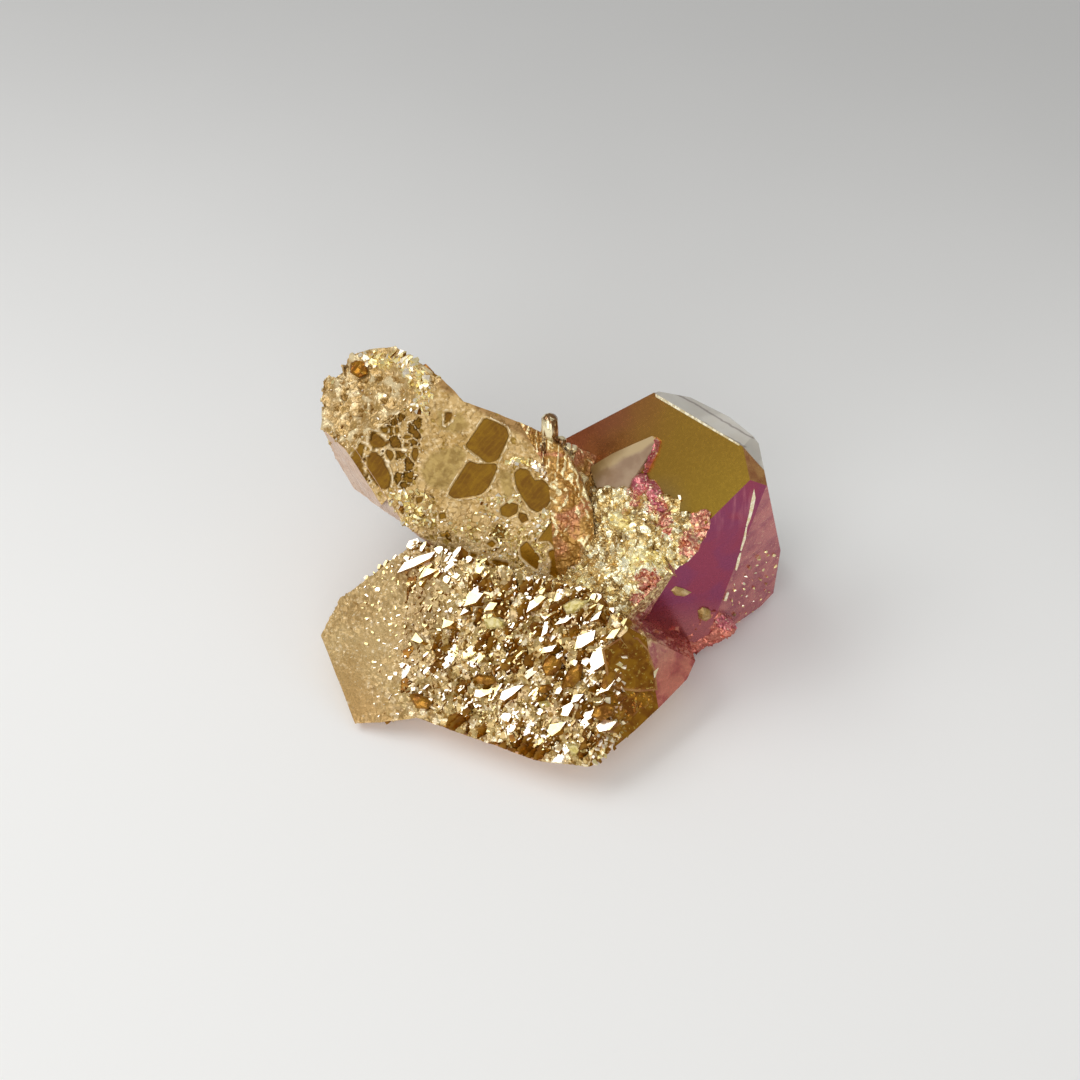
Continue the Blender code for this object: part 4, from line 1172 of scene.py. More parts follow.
ownFinishes = {
    "etched": ("etchedQuartz", etchedSkin),
    "tip": ("wornTip", tipSkin),
    "frosted": ("frostedEnd", frostedSkin),
    "sparkle": ("steppedGround", sparkleSkin),
    "flash": ("paintedGlintFacet", paintedGlintSkin),
    "crust": ("goldCrust", crustSkin),
    "fan": ("streakedFan", fanSkin),
    "olive": ("oliveTip", oliveSkin),
    "magenta": ("magentaFace", magentaSkin),
    "pink": ("pinkFace", pinkSkin),
    "pinkCrust": ("pinkCrust", pinkSkin),
    "clear": ("clearQuartz", clearSkin),
    "blade": ("bladeQuartz", bladeSkin),
    "roseUnder": ("roseUnderside", mottled(**mottledFinishes["rose"][1])),
}
materials = {finish: finishMaterial(name, mottled(**given)) for finish, (name, given) in mottledFinishes.items()}
materials.update({finish: finishMaterial(*given) for finish, given in ownFinishes.items()})
materials["inner"], materials["resting"] = materials["band"], materials["back"]
print("materials made:", len(materials))

facetFinish = np.array([facets[n].finish for n in facetNumbers], dtype=object)
middles = points[triangles].mean(1)
# the stepped face takes the painted glint colour on its treads and brown painted shade on its sides
finishOfTriangle = facetFinish.copy()
stepped = np.nonzero(facetFinish == "sparkle")[0]
kind = steppedCells(middles[stepped])[0]
finishOfTriangle[stepped[kind == 1]] = "flash"
finishOfTriangle[stepped[kind == 2]] = "brown"
bpy.data.objects.remove(body)
coated = meshPiece("coatedBody", insideBox(toFrame(moved)), triangles.tolist(), marks)
finishNames, slots = np.unique(finishOfTriangle.astype(str), return_inverse=True)
for finish in finishNames:
    coated.data.materials.append(materials[finish])
coated.data.polygons.foreach_set("material_index", slots.astype(np.int32))
print("coated body:", len(coated.data.polygons), "triangles")


def clearEnd():
    cuts = crystalPlanes("rightPoint")
    cuts += [(ridgePoint - ridgeNormal * ridge["gap"], -ridgeNormal), ((0, 0, ridge["standsAt"]), (0, 0, -1))]
    bm = planed(crystals["rightPoint"]["centre"], cuts)
    bevelled(bm, ridge["bevel"], 1)
    bmesh.ops.triangulate(bm, faces=bm.faces)
    bmesh.ops.recalc_face_normals(bm, faces=bm.faces)
    return finishedPiece("clearEnd", bm, "clear")


blade = {
    "outline": [(-10.4, 0.6), (-8.7, 4.1), (-6.7, 7.3), (-5.2, 9.6), (-4.4, 9.6), (-3.9, 8.4), (-3.8, 5.2),
        (-3.6, 2.1), (-4.6, -0.1), (-7.4, -0.9)],
    "sunk": 0.8, "proud": 0.7, "bevel": 0.06,
}
# Beads on the knob are (base, direction, radius, length).
knob = {
    "column": {"base": (1.3, 4.9, 24.6), "way": (95, 84), "radius": 1.42, "length": 6.4, "taper": 0.8, "tip": 0.5},
    "bevel": 0.16,
    "beads": [((0.3, 4.2, 25.2), (140, 62), 0.85, 1.6), ((2.4, 4.7, 25.3), (40, 60), 0.72, 1.9),
        ((3.2, 4.6, 24.9), (0, 52), 0.6, 1.5), ((4, 4.8, 24.2), (10, 60), 0.55, 1.5)],
}


def bladePane():
    bm = prism(oliveFace, blade["outline"], -blade["sunk"], blade["proud"])
    bevelled(bm, blade["bevel"], 2)
    return finishedPiece("blade", bm, "blade")


# Beads are domes on straight shanks, and lumpy by cloudy noise of one size, mm.
beadShape = {"flatter": 0.8, "least": 0.1, "waist": 0.05, "lumps": 1.3, "octaves": 2, "seed": 613, "lumpy": 0.12}


def addTo(whole, bm):
    mesh = bpy.data.meshes.new("part")
    bm.to_mesh(mesh)
    whole.from_mesh(mesh)
    bpy.data.meshes.remove(mesh)
    bm.free()


def knobPoints():
    whole = bmesh.new()
    post = knob["column"]
    bm = smallPoint(post["base"], post["way"], post["radius"], post["length"], post["taper"], post["tip"], 7)
    bevelled(bm, knob["bevel"], 3)
    addTo(whole, bm)
    for base, direction, radius, length in knob["beads"]:
        bm = bmesh.new()
        bmesh.ops.create_icosphere(bm, subdivisions=3, radius=1.0)
        shank = max(length - radius, beadShape["least"])
        for vert in bm.verts:
            x, y, z = vert.co
            lift = shank if z > beadShape["waist"] else 0.0
            vert.co = (x * radius, y * radius, z * radius * beadShape["flatter"] + lift)
        bmesh.ops.transform(bm, matrix=standing(base, direction), verts=bm.verts)
        middle = Vector(base) + facing(*direction) * length * 0.5
        places = np.array([vert.co for vert in bm.verts])
        bumps = cloudy(places, beadShape["lumps"], beadShape["octaves"], beadShape["seed"]) * beadShape["lumpy"]
        for vert, bump in zip(bm.verts, bumps):
            vert.co += (vert.co - middle).normalized() * float(bump)
        addTo(whole, bm)
    bmesh.ops.recalc_face_normals(whole, faces=whole.faces)
    for face in whole.faces:
        face.smooth = True
    return finishedPiece("knob", whole, "knob")


clear, pane, column = clearEnd(), bladePane(), knobPoints()
print("clear end, blade and knob made")

shapes, grainShapes = newCollection("blockShapes"), newCollection("grainShapes")
# Blocks have their riser side at x = 0, and run along y.
blockOutlines = [
    [(0, 0), (0.05, 0.75), (-0.25, 1), (-0.8, 0.85), (-1, 0.3), (-0.55, 0)],
    [(0, 0.1), (0, 0.9), (-0.5, 1), (-1, 0.45), (-0.7, 0)], [(0, 0), (0, 1), (-0.45, 0.8), (-0.9, 0.2)],
    [(0, 0), (0.1, 0.5), (0, 1), (-0.7, 1), (-1, 0.6), (-0.8, 0.1)], [(0, 0.2), (-0.1, 1), (-0.9, 0.9), (-0.6, 0)],
]


def blockShape(name, outline, widen=1.06, spread=0.9):
    bm = bmesh.new()
    top = [bm.verts.new((x, y, 0.0)) for x, y in outline]
    low = [bm.verts.new((x * widen + (spread if x > -0.3 else 0.0), y * widen, -1.0)) for x, y in outline]
    bm.faces.new(top)
    bm.faces.new(low[::-1])
    for i, j in loopEdges(0, len(outline)):
        bm.faces.new((top[i], low[i], low[j], top[j]))
    bmesh.ops.recalc_face_normals(bm, faces=bm.faces)
    newObject(name, bm, shapes)


grain = {"cuts": 9, "nearest": 0.32, "farthest": 0.55, "side": 1.2, "seed": 40}


def grainShape(name, seed):
    # a chipped lump of quartz with a few flat sides
    rng = np.random.default_rng(seed)
    cuts = []
    for _ in range(grain["cuts"]):
        way = Vector(rng.normal(size=3)).normalized()
        cuts.append((way * rng.uniform(grain["nearest"], grain["farthest"]), way))
    newObject(name, planed((0, 0, 0), cuts, grain["side"]), grainShapes)


for number, outline in enumerate(blockOutlines):
    blockShape("block%d" % number, outline)
    grainShape("grain%d" % number, grain["seed"] + number)

scatterInputs = {
    "Geometry": ["Surface"],
    "Collection": ["Shapes"],
    "Float": ["Spacing", "Sunk", "Proud", "Bright limit", "Brown limit"],
    "Int": ["Seed"],
    "Vector": ["Turn", "Wobble", "Smallest", "Largest", "Bright way", "Brown way"],
    "Material": ["Skin", "Bright", "Brown"],
}
# The most points to a square metre, and what each later choice adds to the seed.
spreading = {"density": 4.0e7, "pick": 5, "wobble": 9, "size": 13}


def scatterTree():
    tree = bpy.data.node_groups.new("scatterShapes", "GeometryNodeTree")
    for kind, names in scatterInputs.items():
        for name in names:
            tree.interface.new_socket(name=name, in_out="INPUT", socket_type="NodeSocket" + kind)
    tree.interface.new_socket(name="Shapes out", in_out="OUTPUT", socket_type="NodeSocketGeometry")
    start = Wire(tree).node("NodeGroupInput")
    given, seed = start.sibling, start.sibling("Seed")

    def chance(number, kind, low, high, ownSeed):
        # vectors, floats and whole numbers have the node's sockets in that order
        inputs = {number * 2: low, number * 2 + 1: high, "Seed": ownSeed}
        return start.node("FunctionNodeRandomValue", {"data_type": kind}, inputs, number)

    spread = start.node("GeometryNodeDistributePointsOnFaces", {"distribute_method": "POISSON"}, {
        "Mesh": given("Surface"),
        "Distance Min": given("Spacing"),
        "Density Max": spreading["density"],
        "Seed": seed,
    })
    height = chance(1, "FLOAT", given("Sunk"), given("Proud"), seed)
    lift = start.node("ShaderNodeVectorMath", {"operation": "SCALE"}, {0: spread.sibling("Normal"), "Scale": height})
    lifted = start.node("GeometryNodeSetPosition", None, {"Geometry": spread, "Offset": lift})
    children = {"Separate Children": True, "Reset Children": True}
    shapesIn = start.node("GeometryNodeCollectionInfo", None, {"Collection": given("Shapes"), **children})
    back = start.vector("MULTIPLY", given("Wobble"), (-1.0, -1.0, -1.0))
    wobble = chance(0, "FLOAT_VECTOR", back, given("Wobble"), seed + spreading["wobble"])
    turns = [start.node("FunctionNodeEulerToRotation", None, {0: angles}) for angles in (given("Turn"), wobble)]
    placed = start.node("GeometryNodeInstanceOnPoints", None, {
        "Points": lifted,
        "Instance": shapesIn,
        "Pick Instance": True,
        "Instance Index": chance(2, "INT", 0, len(blockOutlines) - 1, seed + spreading["pick"]),
        "Rotation": start.node("FunctionNodeRotateRotation", {"rotation_space": "LOCAL"}, dict(enumerate(turns))),
        "Scale": chance(0, "FLOAT_VECTOR", given("Smallest"), given("Largest"), seed + spreading["size"]),
    })
    real = start.node("GeometryNodeRealizeInstances", None, {"Geometry": placed})
    real = start.node("GeometryNodeSetMaterial", None, {"Geometry": real, "Material": given("Skin")})
    normal = start.node("GeometryNodeInputNormal")
    # faces turned the glint way take the painted glint colour, and faces turned the riser way take brown as painted
    # shade
    for material in ("Brown", "Bright"):
        ends = {0: normal.dot(given(material + " way")), 1: given(material + " limit")}
        chosen = start.node("FunctionNodeCompare", {"data_type": "FLOAT", "operation": "GREATER_THAN"}, ends)
        inputs = {"Geometry": real, "Selection": chosen, "Material": given(material)}
        real = start.node("GeometryNodeSetMaterial", None, inputs)
    tree.links.new(tree.nodes.new("NodeGroupOutput").inputs[0], real.socket)
    return tree


scatterNodes = scatterTree()


def patch(name, finish, wanted=None):
    # the triangles of one finish, as a surface to scatter on
    chosen = facetFinish == finish
    if wanted is not None:
        chosen &= wanted(middles)
    used, numbers = np.unique(triangles[chosen], return_inverse=True)
    return meshPiece(name, toFrame(moved[used]), numbers.reshape(-1, 3).tolist())


def scatter(name, surface, values):
    given = {
        "Turn": (0.0, 0.0, 0.0),
        "Bright way": tuple(tread),
        "Brown way": tuple(riser),
        "Bright": materials["flash"],
        "Brown": materials["brown"],
        **values,
    }
    for length in ("Spacing", "Sunk", "Proud"):
        given[length] *= layout["metres"]
    for size in ("Smallest", "Largest"):
        given[size] = tuple(v * layout["metres"] for v in given[size])
    modifier = surface.modifiers.new("scatter", "NODES")
    modifier.node_group = scatterNodes
    for item in scatterNodes.interface.items_tree:
        if item.in_out == "INPUT" and item.name in given:
            modifier[item.identifier] = given[item.name]
    evaluated(surface, modifier)
    surface.name = name
    for vert in surface.data.vertices:
        vert.co = [min(max(v, low), high) for v, low, high in zip(vert.co, *cadBox)]
    print(name, "has", len(surface.data.polygons), "faces")
    return surface


tipFace = facetPlane("wornTip", "wornTipFace")
amberFace = facetPlane("sparklePoint", "amberFace")
roseFace = facetPlane("rightPoint", "frontRightPrism")
upperCrust = facetPlane("mound", "upperSlope")
stepTurn = Matrix((edgeRun.cross(tread), edgeRun, tread)).transposed().to_euler()


def zone(plane, *outlines, deep=2.5, clearOfWindows=0.15):
    def wanted(middles):
        x, y = plane.flat(middles)
        near = np.abs((middles - np.array(plane.origin)) @ np.array(plane.normal)) < deep
        if plane is windowFace:
            near &= windowDistance(x, y) > clearOfWindows
        return np.any([insideOutline(outline, x, y) for outline in outlines], 0) & near

    return wanted


# Heights over the facet are in mm, and limits are the cosines past which a side takes the painted glint colour or the
# brown painted shade.
steps = {"sunk": -0.1, "paintedGlintLimit": 0.99, "brown": 0.55}
grains = {"sunk": 0.1, "proud": 0.1, "brown": 0.97, "seed": 21}
# Wobbles are in degrees, spacings and sizes in mm.
stepSets = {
    "bigSteps": {
        "where": [(-0.5, -10.8), (9.5, -10), (13.8, -6), (14.6, 6), (9.5, 10.2), (3, 10.4), (0, 0)],
        "spacing": 2.6, "seed": 11, "wobble": (7, 7, 14), "from": (0.7, 1, 1.6), "to": (1.3, 2.1, 2), "proud": 0.7,
    },
    "cornerSteps": {
        "where": [(-22, 4.5), (-18.5, 9.5), (-12, 10), (-11, 6), (-16, 3.4)],
        "spacing": 1.2, "seed": 12, "wobble": (5, 5, 14), "from": (0.5, 0.8, 1.2), "to": (1.2, 2, 1.6),
        "proud": 0.6,
    },
    "middleSteps": {
        "where": [(-13.2, -9.2), (-3.3, -9.1), (6.5, -9.8), (11, -9), (14.6, -5.6), (15.4, 7.5), (4, 11.8),
            (-18.5, 9.6), (-20, 4)],
        "spacing": 1.4, "seed": 13, "wobble": (9, 9, 24), "from": (0.25, 0.35, 0.8), "to": (0.8, 1.2, 1.2),
        "proud": 0.4,
    },
    "borderSteps": {
        "finish": "frosted",
        "where": [(-24.5, 3), (-20.5, 10), (-12, 10), (-12, -14), (-15.5, -14)],
        "spacing": 0.8, "seed": 16, "wobble": (8, 8, 40), "from": (0.12, 0.15, 0.5), "to": (0.75, 1, 0.8),
        "proud": 0.22, "brown": 0.8,
    },
    "cornerGround": {
        "finish": "amber", "face": amberFace,
        "where": [(-4.1, -6), (-1.7, -5.2), (1.4, -5.3), (3.4, -7.4), (5, -9.2), (4.4, -11.5), (-6, -12.4),
            (-6, -8)],
        "spacing": 0.42, "seed": 17, "wobble": (16, 16, 40), "from": (0.2, 0.3, 0.3), "to": (0.5, 0.75, 0.5),
        "proud": 0.1, "brown": 0.8,
    },
    "smallSteps": {
        "where": [(-13.6, -9.6), (-3.3, -9.4), (6.9, -10.1), (11.4, -9.3), (15, -5.8), (15.4, 7.5), (4, 11.8),
            (-18.5, 9.6), (-22, 4)],
        "spacing": 0.55, "seed": 14, "wobble": (14, 14, 60), "from": (0.1, 0.12, 0.5), "to": (0.4, 0.6, 0.8),
        "proud": 0.35,
    },
    "edgeSteps": {
        "where": [(-12, -9.6), (-3, -9.6), (6.9, -10.3), (11.4, -9.5), (13.3, -7.8), (12.6, -7), (2, -7.6),
            (-12, -7.8)],
        "spacing": 0.5, "seed": 15, "wobble": (14, 14, 50), "from": (0.2, 0.25, 0.6), "to": (0.55, 0.8, 1),
        "proud": 0.3,
    },
}
pieces = [coated, clear, pane, column]
for name, given in stepSets.items():
    surface = patch(name, given.get("finish", "sparkle"), zone(given.get("face", sparkleFace), given["where"]))
    pieces.append(scatter(name, surface, {
        "Shapes": shapes,
        "Spacing": given["spacing"],
        "Seed": given["seed"],
        "Turn": tuple(stepTurn),
        "Wobble": tuple(map(math.radians, given["wobble"])),
        "Smallest": given["from"],
        "Largest": given["to"],
        "Sunk": steps["sunk"],
        "Proud": given["proud"],
        "Skin": materials["sparkle"],
        "Bright limit": steps["paintedGlintLimit"],
        "Brown limit": given.get("brown", steps["brown"]),
    }))
# Grains in the flake and glint skins are painted glints, pale over all their faces.
grainSets = {
    "crustGrains": {
        "finish": "crust", "where": None, "spacing": 2, "from": 0.2, "to": 0.9, "skin": "crust", "paintedGlintLimit": 0.94,
    },
    "tipGlints": {
        "finish": "tip", "where": None, "spacing": 1.3, "from": 0.15, "to": 0.55, "skin": "tip", "paintedGlintLimit": 0.9,
        "sunk": 0.2,
    },
    "tipFrost": {
        "finish": "tip",
        "where": (tipFace,
            [(-3.6, 6.4), (-2.1, 8), (2.8, 7.6), (6.4, 6.1), (6.6, 4.3), (4.8, 3.1), (3.8, 5), (0.4, 5.6)],
            [(-8, 3), (-5.9, 5), (-3, 6.8), (-1.4, 6.2), (-3.4, 4.4), (-6.6, 2.7)]),
        "spacing": 0.55, "from": 0.45, "to": 1.1, "skin": "flake", "paintedGlintLimit": 0.66, "sunk": 0.35,
    },
    "etchedFrost": {
        "finish": "etched",
        "where": (windowFace,
            [(-9.3, 14.5), (-7.1, 15), (-5.2, 13), (-4.2, 10.4), (-4.7, 8.2), (-6.8, 8.6), (-7.2, 13)],
            [(2.3, -2.9), (5.2, -2), (7.4, -1.9), (8.3, -3.1), (6.1, -4.4), (4.3, -4.2), (2.9, -4)],
            [(10.6, -4.2), (12.6, -3.2), (12.8, -5.3), (11, -6.5), (9.9, -5.2)],
            [(-17.8, 5.5), (-14.9, 6.2), (-14.1, 4.6), (-15.6, 3.6), (-17.5, 3)],
            [(-9.6, -3), (-6.7, -1.9), (-4.3, -2.6), (-3.7, -4.2), (-6.3, -5.5), (-9, -5.1)],
            [(-8, -5.8), (-5.3, -5), (-2.6, -4.7), (-3.9, -6.7), (-7.3, -7.2)]),
        "spacing": 0.5, "from": 0.25, "to": 0.85, "skin": "flake", "paintedGlintLimit": 0.72, "sunk": 0.22,
    },
    "windowArc": {
        "finish": "etched",
        "where": (windowFace,
            [(6.1, 2.3), (6.6, 3), (8.2, 3.1), (9.8, 2.6), (10.9, 1.6), (11.6, 0.4), (10.9, 0.5), (10, 1.6),
                (8.5, 2.3), (6.9, 2.3)]),
        "spacing": 0.32, "from": 0.4, "to": 0.8, "skin": "flash", "paintedGlintLimit": 0.6, "sunk": 0.1,
    },
    "pitGlints": {
        "finish": "etched", "where": (windowFace, etching["zones"][0][0]), "spacing": 0.5, "from": 0.12, "to": 0.6,
        "skin": "flake", "paintedGlintLimit": 0.7,
    },
    "leftGlints": {
        "finish": "etched", "where": (windowFace, etching["zones"][1][0]), "spacing": 0.75, "from": 0.12,
        "to": 0.45, "skin": "etched", "paintedGlintLimit": 0.94,
    },
    "amberGlints": {
        "finish": "amber",
        "where": (amberFace,
            [(5.6, -0.4), (7.5, 1.5), (9, -0.1), (7, -3.5), (5.6, -7), (3.6, -11.3), (-0.3, -12.2), (-6, -12.4),
                (-6, -3), (0, -1)]),
        "spacing": 0.85, "from": 0.25, "to": 0.95, "skin": "flash", "paintedGlintLimit": 0.5, "sunk": 0.2,
    },
    "roseGlints": {
        "finish": "rose",
        "where": (roseFace, [(0.5, -4), (6, 1), (9.8, -4), (10, -11), (3.5, -15)]),
        "spacing": 1.35, "from": 0.12, "to": 0.5, "skin": "flake", "paintedGlintLimit": 0.7, "sunk": 0.12,
    },
}
for number, (name, given) in enumerate(grainSets.items()):
    surface = patch(name, given["finish"], zone(*given["where"]) if given["where"] else None)
    pieces.append(scatter(name, surface, {
        "Shapes": grainShapes,
        "Spacing": given["spacing"],
        "Seed": grains["seed"] + number,
        "Wobble": (math.pi, math.pi, math.pi),
        "Smallest": (given["from"],) * 3,
        "Largest": (given["to"],) * 3,
        "Sunk": -given.get("sunk", grains["sunk"]),
        "Proud": grains["proud"],
        "Skin": materials[given["skin"]],
        "Bright limit": given["paintedGlintLimit"],
        "Brown limit": grains["brown"],
    }))


def shards(name, plane, outlines, rise, root=1.4, skirt=0.9):
    # crisp facets tipped towards the light, each with the painted glint colour on top and a sloping side painted
    # brown as shade
    bm = bmesh.new()
    for outline in outlines:
        corners = [plane.at(x, y, rise) for x, y in outline]
        middle = sum(corners, Vector()) / len(corners)
        slope = plane.normal.dot(tread)
        ring = [corner - plane.normal * ((corner - middle).dot(tread) / slope) for corner in corners]
        run = sum(((b - middle).cross(c - middle) for b, c in sides(ring)), Vector())
        if run.dot(plane.normal) < 0:
            ring.reverse()
        top = [bm.verts.new(p) for p in ring]
        low = []
        for p in ring:
            reach = max(0.0, (p - middle).normalized().dot(riser)) * skirt
            low.append(bm.verts.new(p - plane.normal * root + riser * reach))
        bm.faces.new(top).material_index = 0
        bm.faces.new(low[::-1]).material_index = 2
        for i, j in loopEdges(0, len(ring)):
            face = bm.faces.new((top[i], low[i], low[j], top[j]))
            face.normal_update()
            face.material_index = 1 if face.normal.dot(riser) > 0.3 else 2
    bmesh.ops.recalc_face_normals(bm, faces=bm.faces)
    return finishedPiece(name, bm, "flash", "brown", "sparkle")


def lump(name, plane, outline, rise, sunk, finish, side, edge, relief, tilt=(0.0, 0.0), drawnIn=1.0):
    # a closed cushion over an outline on a facet, with its own relief
    ring = []
    for (x1, y1), (x2, y2) in sides(outline):
        steps = max(1, math.ceil(math.hypot(x2 - x1, y2 - y1) / side))
        ring += [(x1 + (x2 - x1) * n / steps, y1 + (y2 - y1) * n / steps) for n in range(steps)]
    if sum(a[0] * b[1] - b[0] * a[1] for a, b in sides(ring)) < 0:
        ring.reverse()
    spans = [np.arange(low, high, side) for low, high in zip(np.min(ring, 0), np.max(ring, 0))]
    net = np.stack(np.meshgrid(*spans), -1).reshape(-1, 2)
    net = net + np.random.default_rng(3).uniform(-0.2, 0.2, net.shape) * side
    flat = [Vector(p) for p in ring + list(keptInside(net, ring, side * 0.5))]
    verts, _, faces, _, _, _ = delaunay_2d_cdt(flat, loopEdges(0, len(ring)), [], 1, 1e-6)
    x, y = np.array(verts).T
    p = np.array([plane.at(v.x, v.y) for v in verts])
    height = rise * ramp(outlineDistance(ring, x, y), -edge * 0.3, edge) + x * tilt[0] + y * tilt[1]
    raised, marks = relief(p) if relief else (0, {})
    top = p + (height + raised)[:, None] * np.array(plane.normal)
    low = p.mean(0) + (p - p.mean(0)) * drawnIn - sunk * np.array(plane.normal)
    count = len(verts)
    bottom = [tuple(i + count for i in f[::-1]) for f in faces]
    ways = {way: None for f in faces for way in sides(f)}
    walls = [(b, a, a + count, b + count) for a, b in ways if (b, a) not in ways]
    doubled = {mark: np.tile(values, 2) for mark, values in marks.items()}
    made = meshPiece(name, insideBox(toFrame(np.concatenate([top, low]))), faces + bottom + walls, doubled)
    made.data.materials.append(materials[finish])
    return made


# Facets, panes and flakes are outlines in mm on the face that carries them.
mainFacets = [
    [(7, 3.5), (6.7, 5.2), (8.6, 6.7), (8.9, 5.4), (7.8, 4)],
    [(9.3, 2.7), (9.3, 4.2), (9.9, 4.9), (11, 4.5), (12.1, 5.8), (12, 4), (10.9, 2.3), (10.3, 1.6)],
    [(-0.3, -5.8), (-0.4, -4.8), (1, -3.6), (2, -3.1), (1.1, -4.8), (0.4, -5.8)],
    [(7.1, -7.7), (7, -6.7), (8.9, -5.7), (8.6, -7), (7.9, -8)],
    [(-3.7, -6.6), (-3.9, -5.8), (-1.7, -5), (-1.6, -5.4), (-2.9, -6.5)],
    [(-0.6, 5.9), (-0.8, 7.3), (0.2, 8.6), (1, 8.6), (0.4, 7.3)], [(-8.9, 4), (-9.1, 6), (-7.1, 6.4), (-7.6, 4.9)],
    [(-16, 5.4), (-15.9, 7.1), (-14.1, 7.3), (-14.8, 6.5)],
    [(-19, 5.2), (-18.7, 6.8), (-17.2, 8.2), (-15.3, 9.5), (-15.5, 8.5), (-17.1, 6.8)],
    [(2.9, 1.5), (2.9, 2.3), (4.4, 3.2), (4.2, 2.3)], [(11.8, -0.9), (11.9, 0.2), (13.2, 1.5), (12.9, 0)],
    [(-10.8, 0.3), (-11.1, 1.5), (-9.6, 1.6), (-9.9, 1)], [(8.8, -3.2), (8.7, -2.1), (9.9, -1.6), (9.6, -2.6)],
    [(-9.1, 2.6), (-9, 3.7), (-8.2, 3.6)], [(2.3, 3.6), (1.9, 5.5), (2.4, 5.8), (2.8, 4.3)],
    [(-6.2, 4.3), (-5.9, 5.6), (-4.9, 5.8), (-5.1, 4.8)], [(7.7, 7.5), (8.1, 8.7), (8.6, 9.3), (8.6, 8.2)],
    [(3.4, 5.6), (3.8, 6.5), (5.2, 7.3), (4.7, 6.4)], [(10.4, 6.1), (10.8, 7.4), (11.7, 8), (11.4, 6.5)],
    [(8, -5.1), (8.3, -3.8), (9.1, -3.7), (9, -4.9)], [(-14.3, -2.5), (-14.2, -1.4), (-12.7, -2.1), (-13, -2.5)],
    [(12.9, -4.9), (13.6, -3.7), (15.2, -3.5), (14.8, -4.7), (13.6, -5.4)],
]
darkPanes = [
    [(3.5, -0.3), (3.4, 0.8), (4.2, 1.9), (5.6, 2), (5.9, 0.6), (5.3, -0.7), (4.4, -1)],
    [(6.8, -1.8), (6.8, 0.6), (7.6, 2), (8.6, 2), (8.9, 0), (8.2, -1.3)],
    [(-4.9, -4.5), (-4.3, -3.8), (-2.1, -3.3), (-1.5, -4), (-2.5, -4.7), (-3.9, -4.9)],
    [(-12.3, -9.3), (-11.1, -8.8), (-8.9, -9.2), (-9.1, -10.3), (-10.7, -10.7)],
    [(-6.6, 7), (-5.9, 8.5), (-5, 9.5), (-4.4, 9.1), (-4.9, 7.7), (-5.8, 7)],
    [(-15.9, 4.9), (-14.8, 6.2), (-13.6, 7), (-13.4, 5.6), (-14.3, 4.7)],
    [(4, -3.4), (4.2, -2.3), (5.4, -1.8), (5.8, -2.2), (5.2, -3.1)],
    [(11.7, -0.1), (11.6, 1.7), (12.3, 2.8), (13.1, 2.5), (13, 0.9), (12.6, -0.3)],
    [(11.9, -3.9), (12, -2.5), (13.1, -1.6), (14.5, -1.6), (14.4, -3), (13.4, -4)],
    [(2.5, 2.4), (2.7, 3.9), (4.3, 5), (5.6, 5.1), (5, 3.8), (3.7, 2.6)],
    [(-8.6, 2.3), (-8.3, 3.4), (-7.3, 3.2), (-7.4, 2.5)], [(0, 5), (0.3, 6.3), (1.2, 7.2), (1.8, 6.5), (1.3, 5.3)],
    [(9.4, 5.6), (9.8, 6.8), (10.7, 6.6), (10.7, 5.2)],
]
limePanes = [
    [(-6.4, 3.3), (-5.5, 4.1), (-3.3, 4), (-3.2, 3), (-5.1, 2.1)],
    [(4.4, -4.6), (5.6, -3.9), (6.4, -4.4), (5.3, -5.4)], [(9.6, -8.3), (11.5, -7.9), (12.5, -8.5), (11.1, -9.7)],
    [(3.3, 8.3), (4.6, 9.7), (6.6, 10.1), (5.6, 8.1), (4.2, 7.4)],
]
# Panes are (outlines, rise, finish, edge, tilt).
panes = {
    "darkPane": (darkPanes, 0.32, "brown", 0.1, (0.05, -0.12)),
    "limePane": (limePanes, 0.4, "lime", 0.2, (0.0, 0.0)),
}
flakes = {
    "flakeTop": [(-4.1, 6.6), (-2.3, 8.1), (-1, 7.3), (-1.2, 5.7), (-2.5, 5.1)],
    "flakeMiddle": [(2.2, 3.2), (2.7, 5.3), (4.8, 6.3), (5, 4.7), (3.6, 2.8)],
    "flakeRight": [(5.1, 6.5), (6.1, 6.4), (8.9, 5.1), (7.3, 5.1)],
}
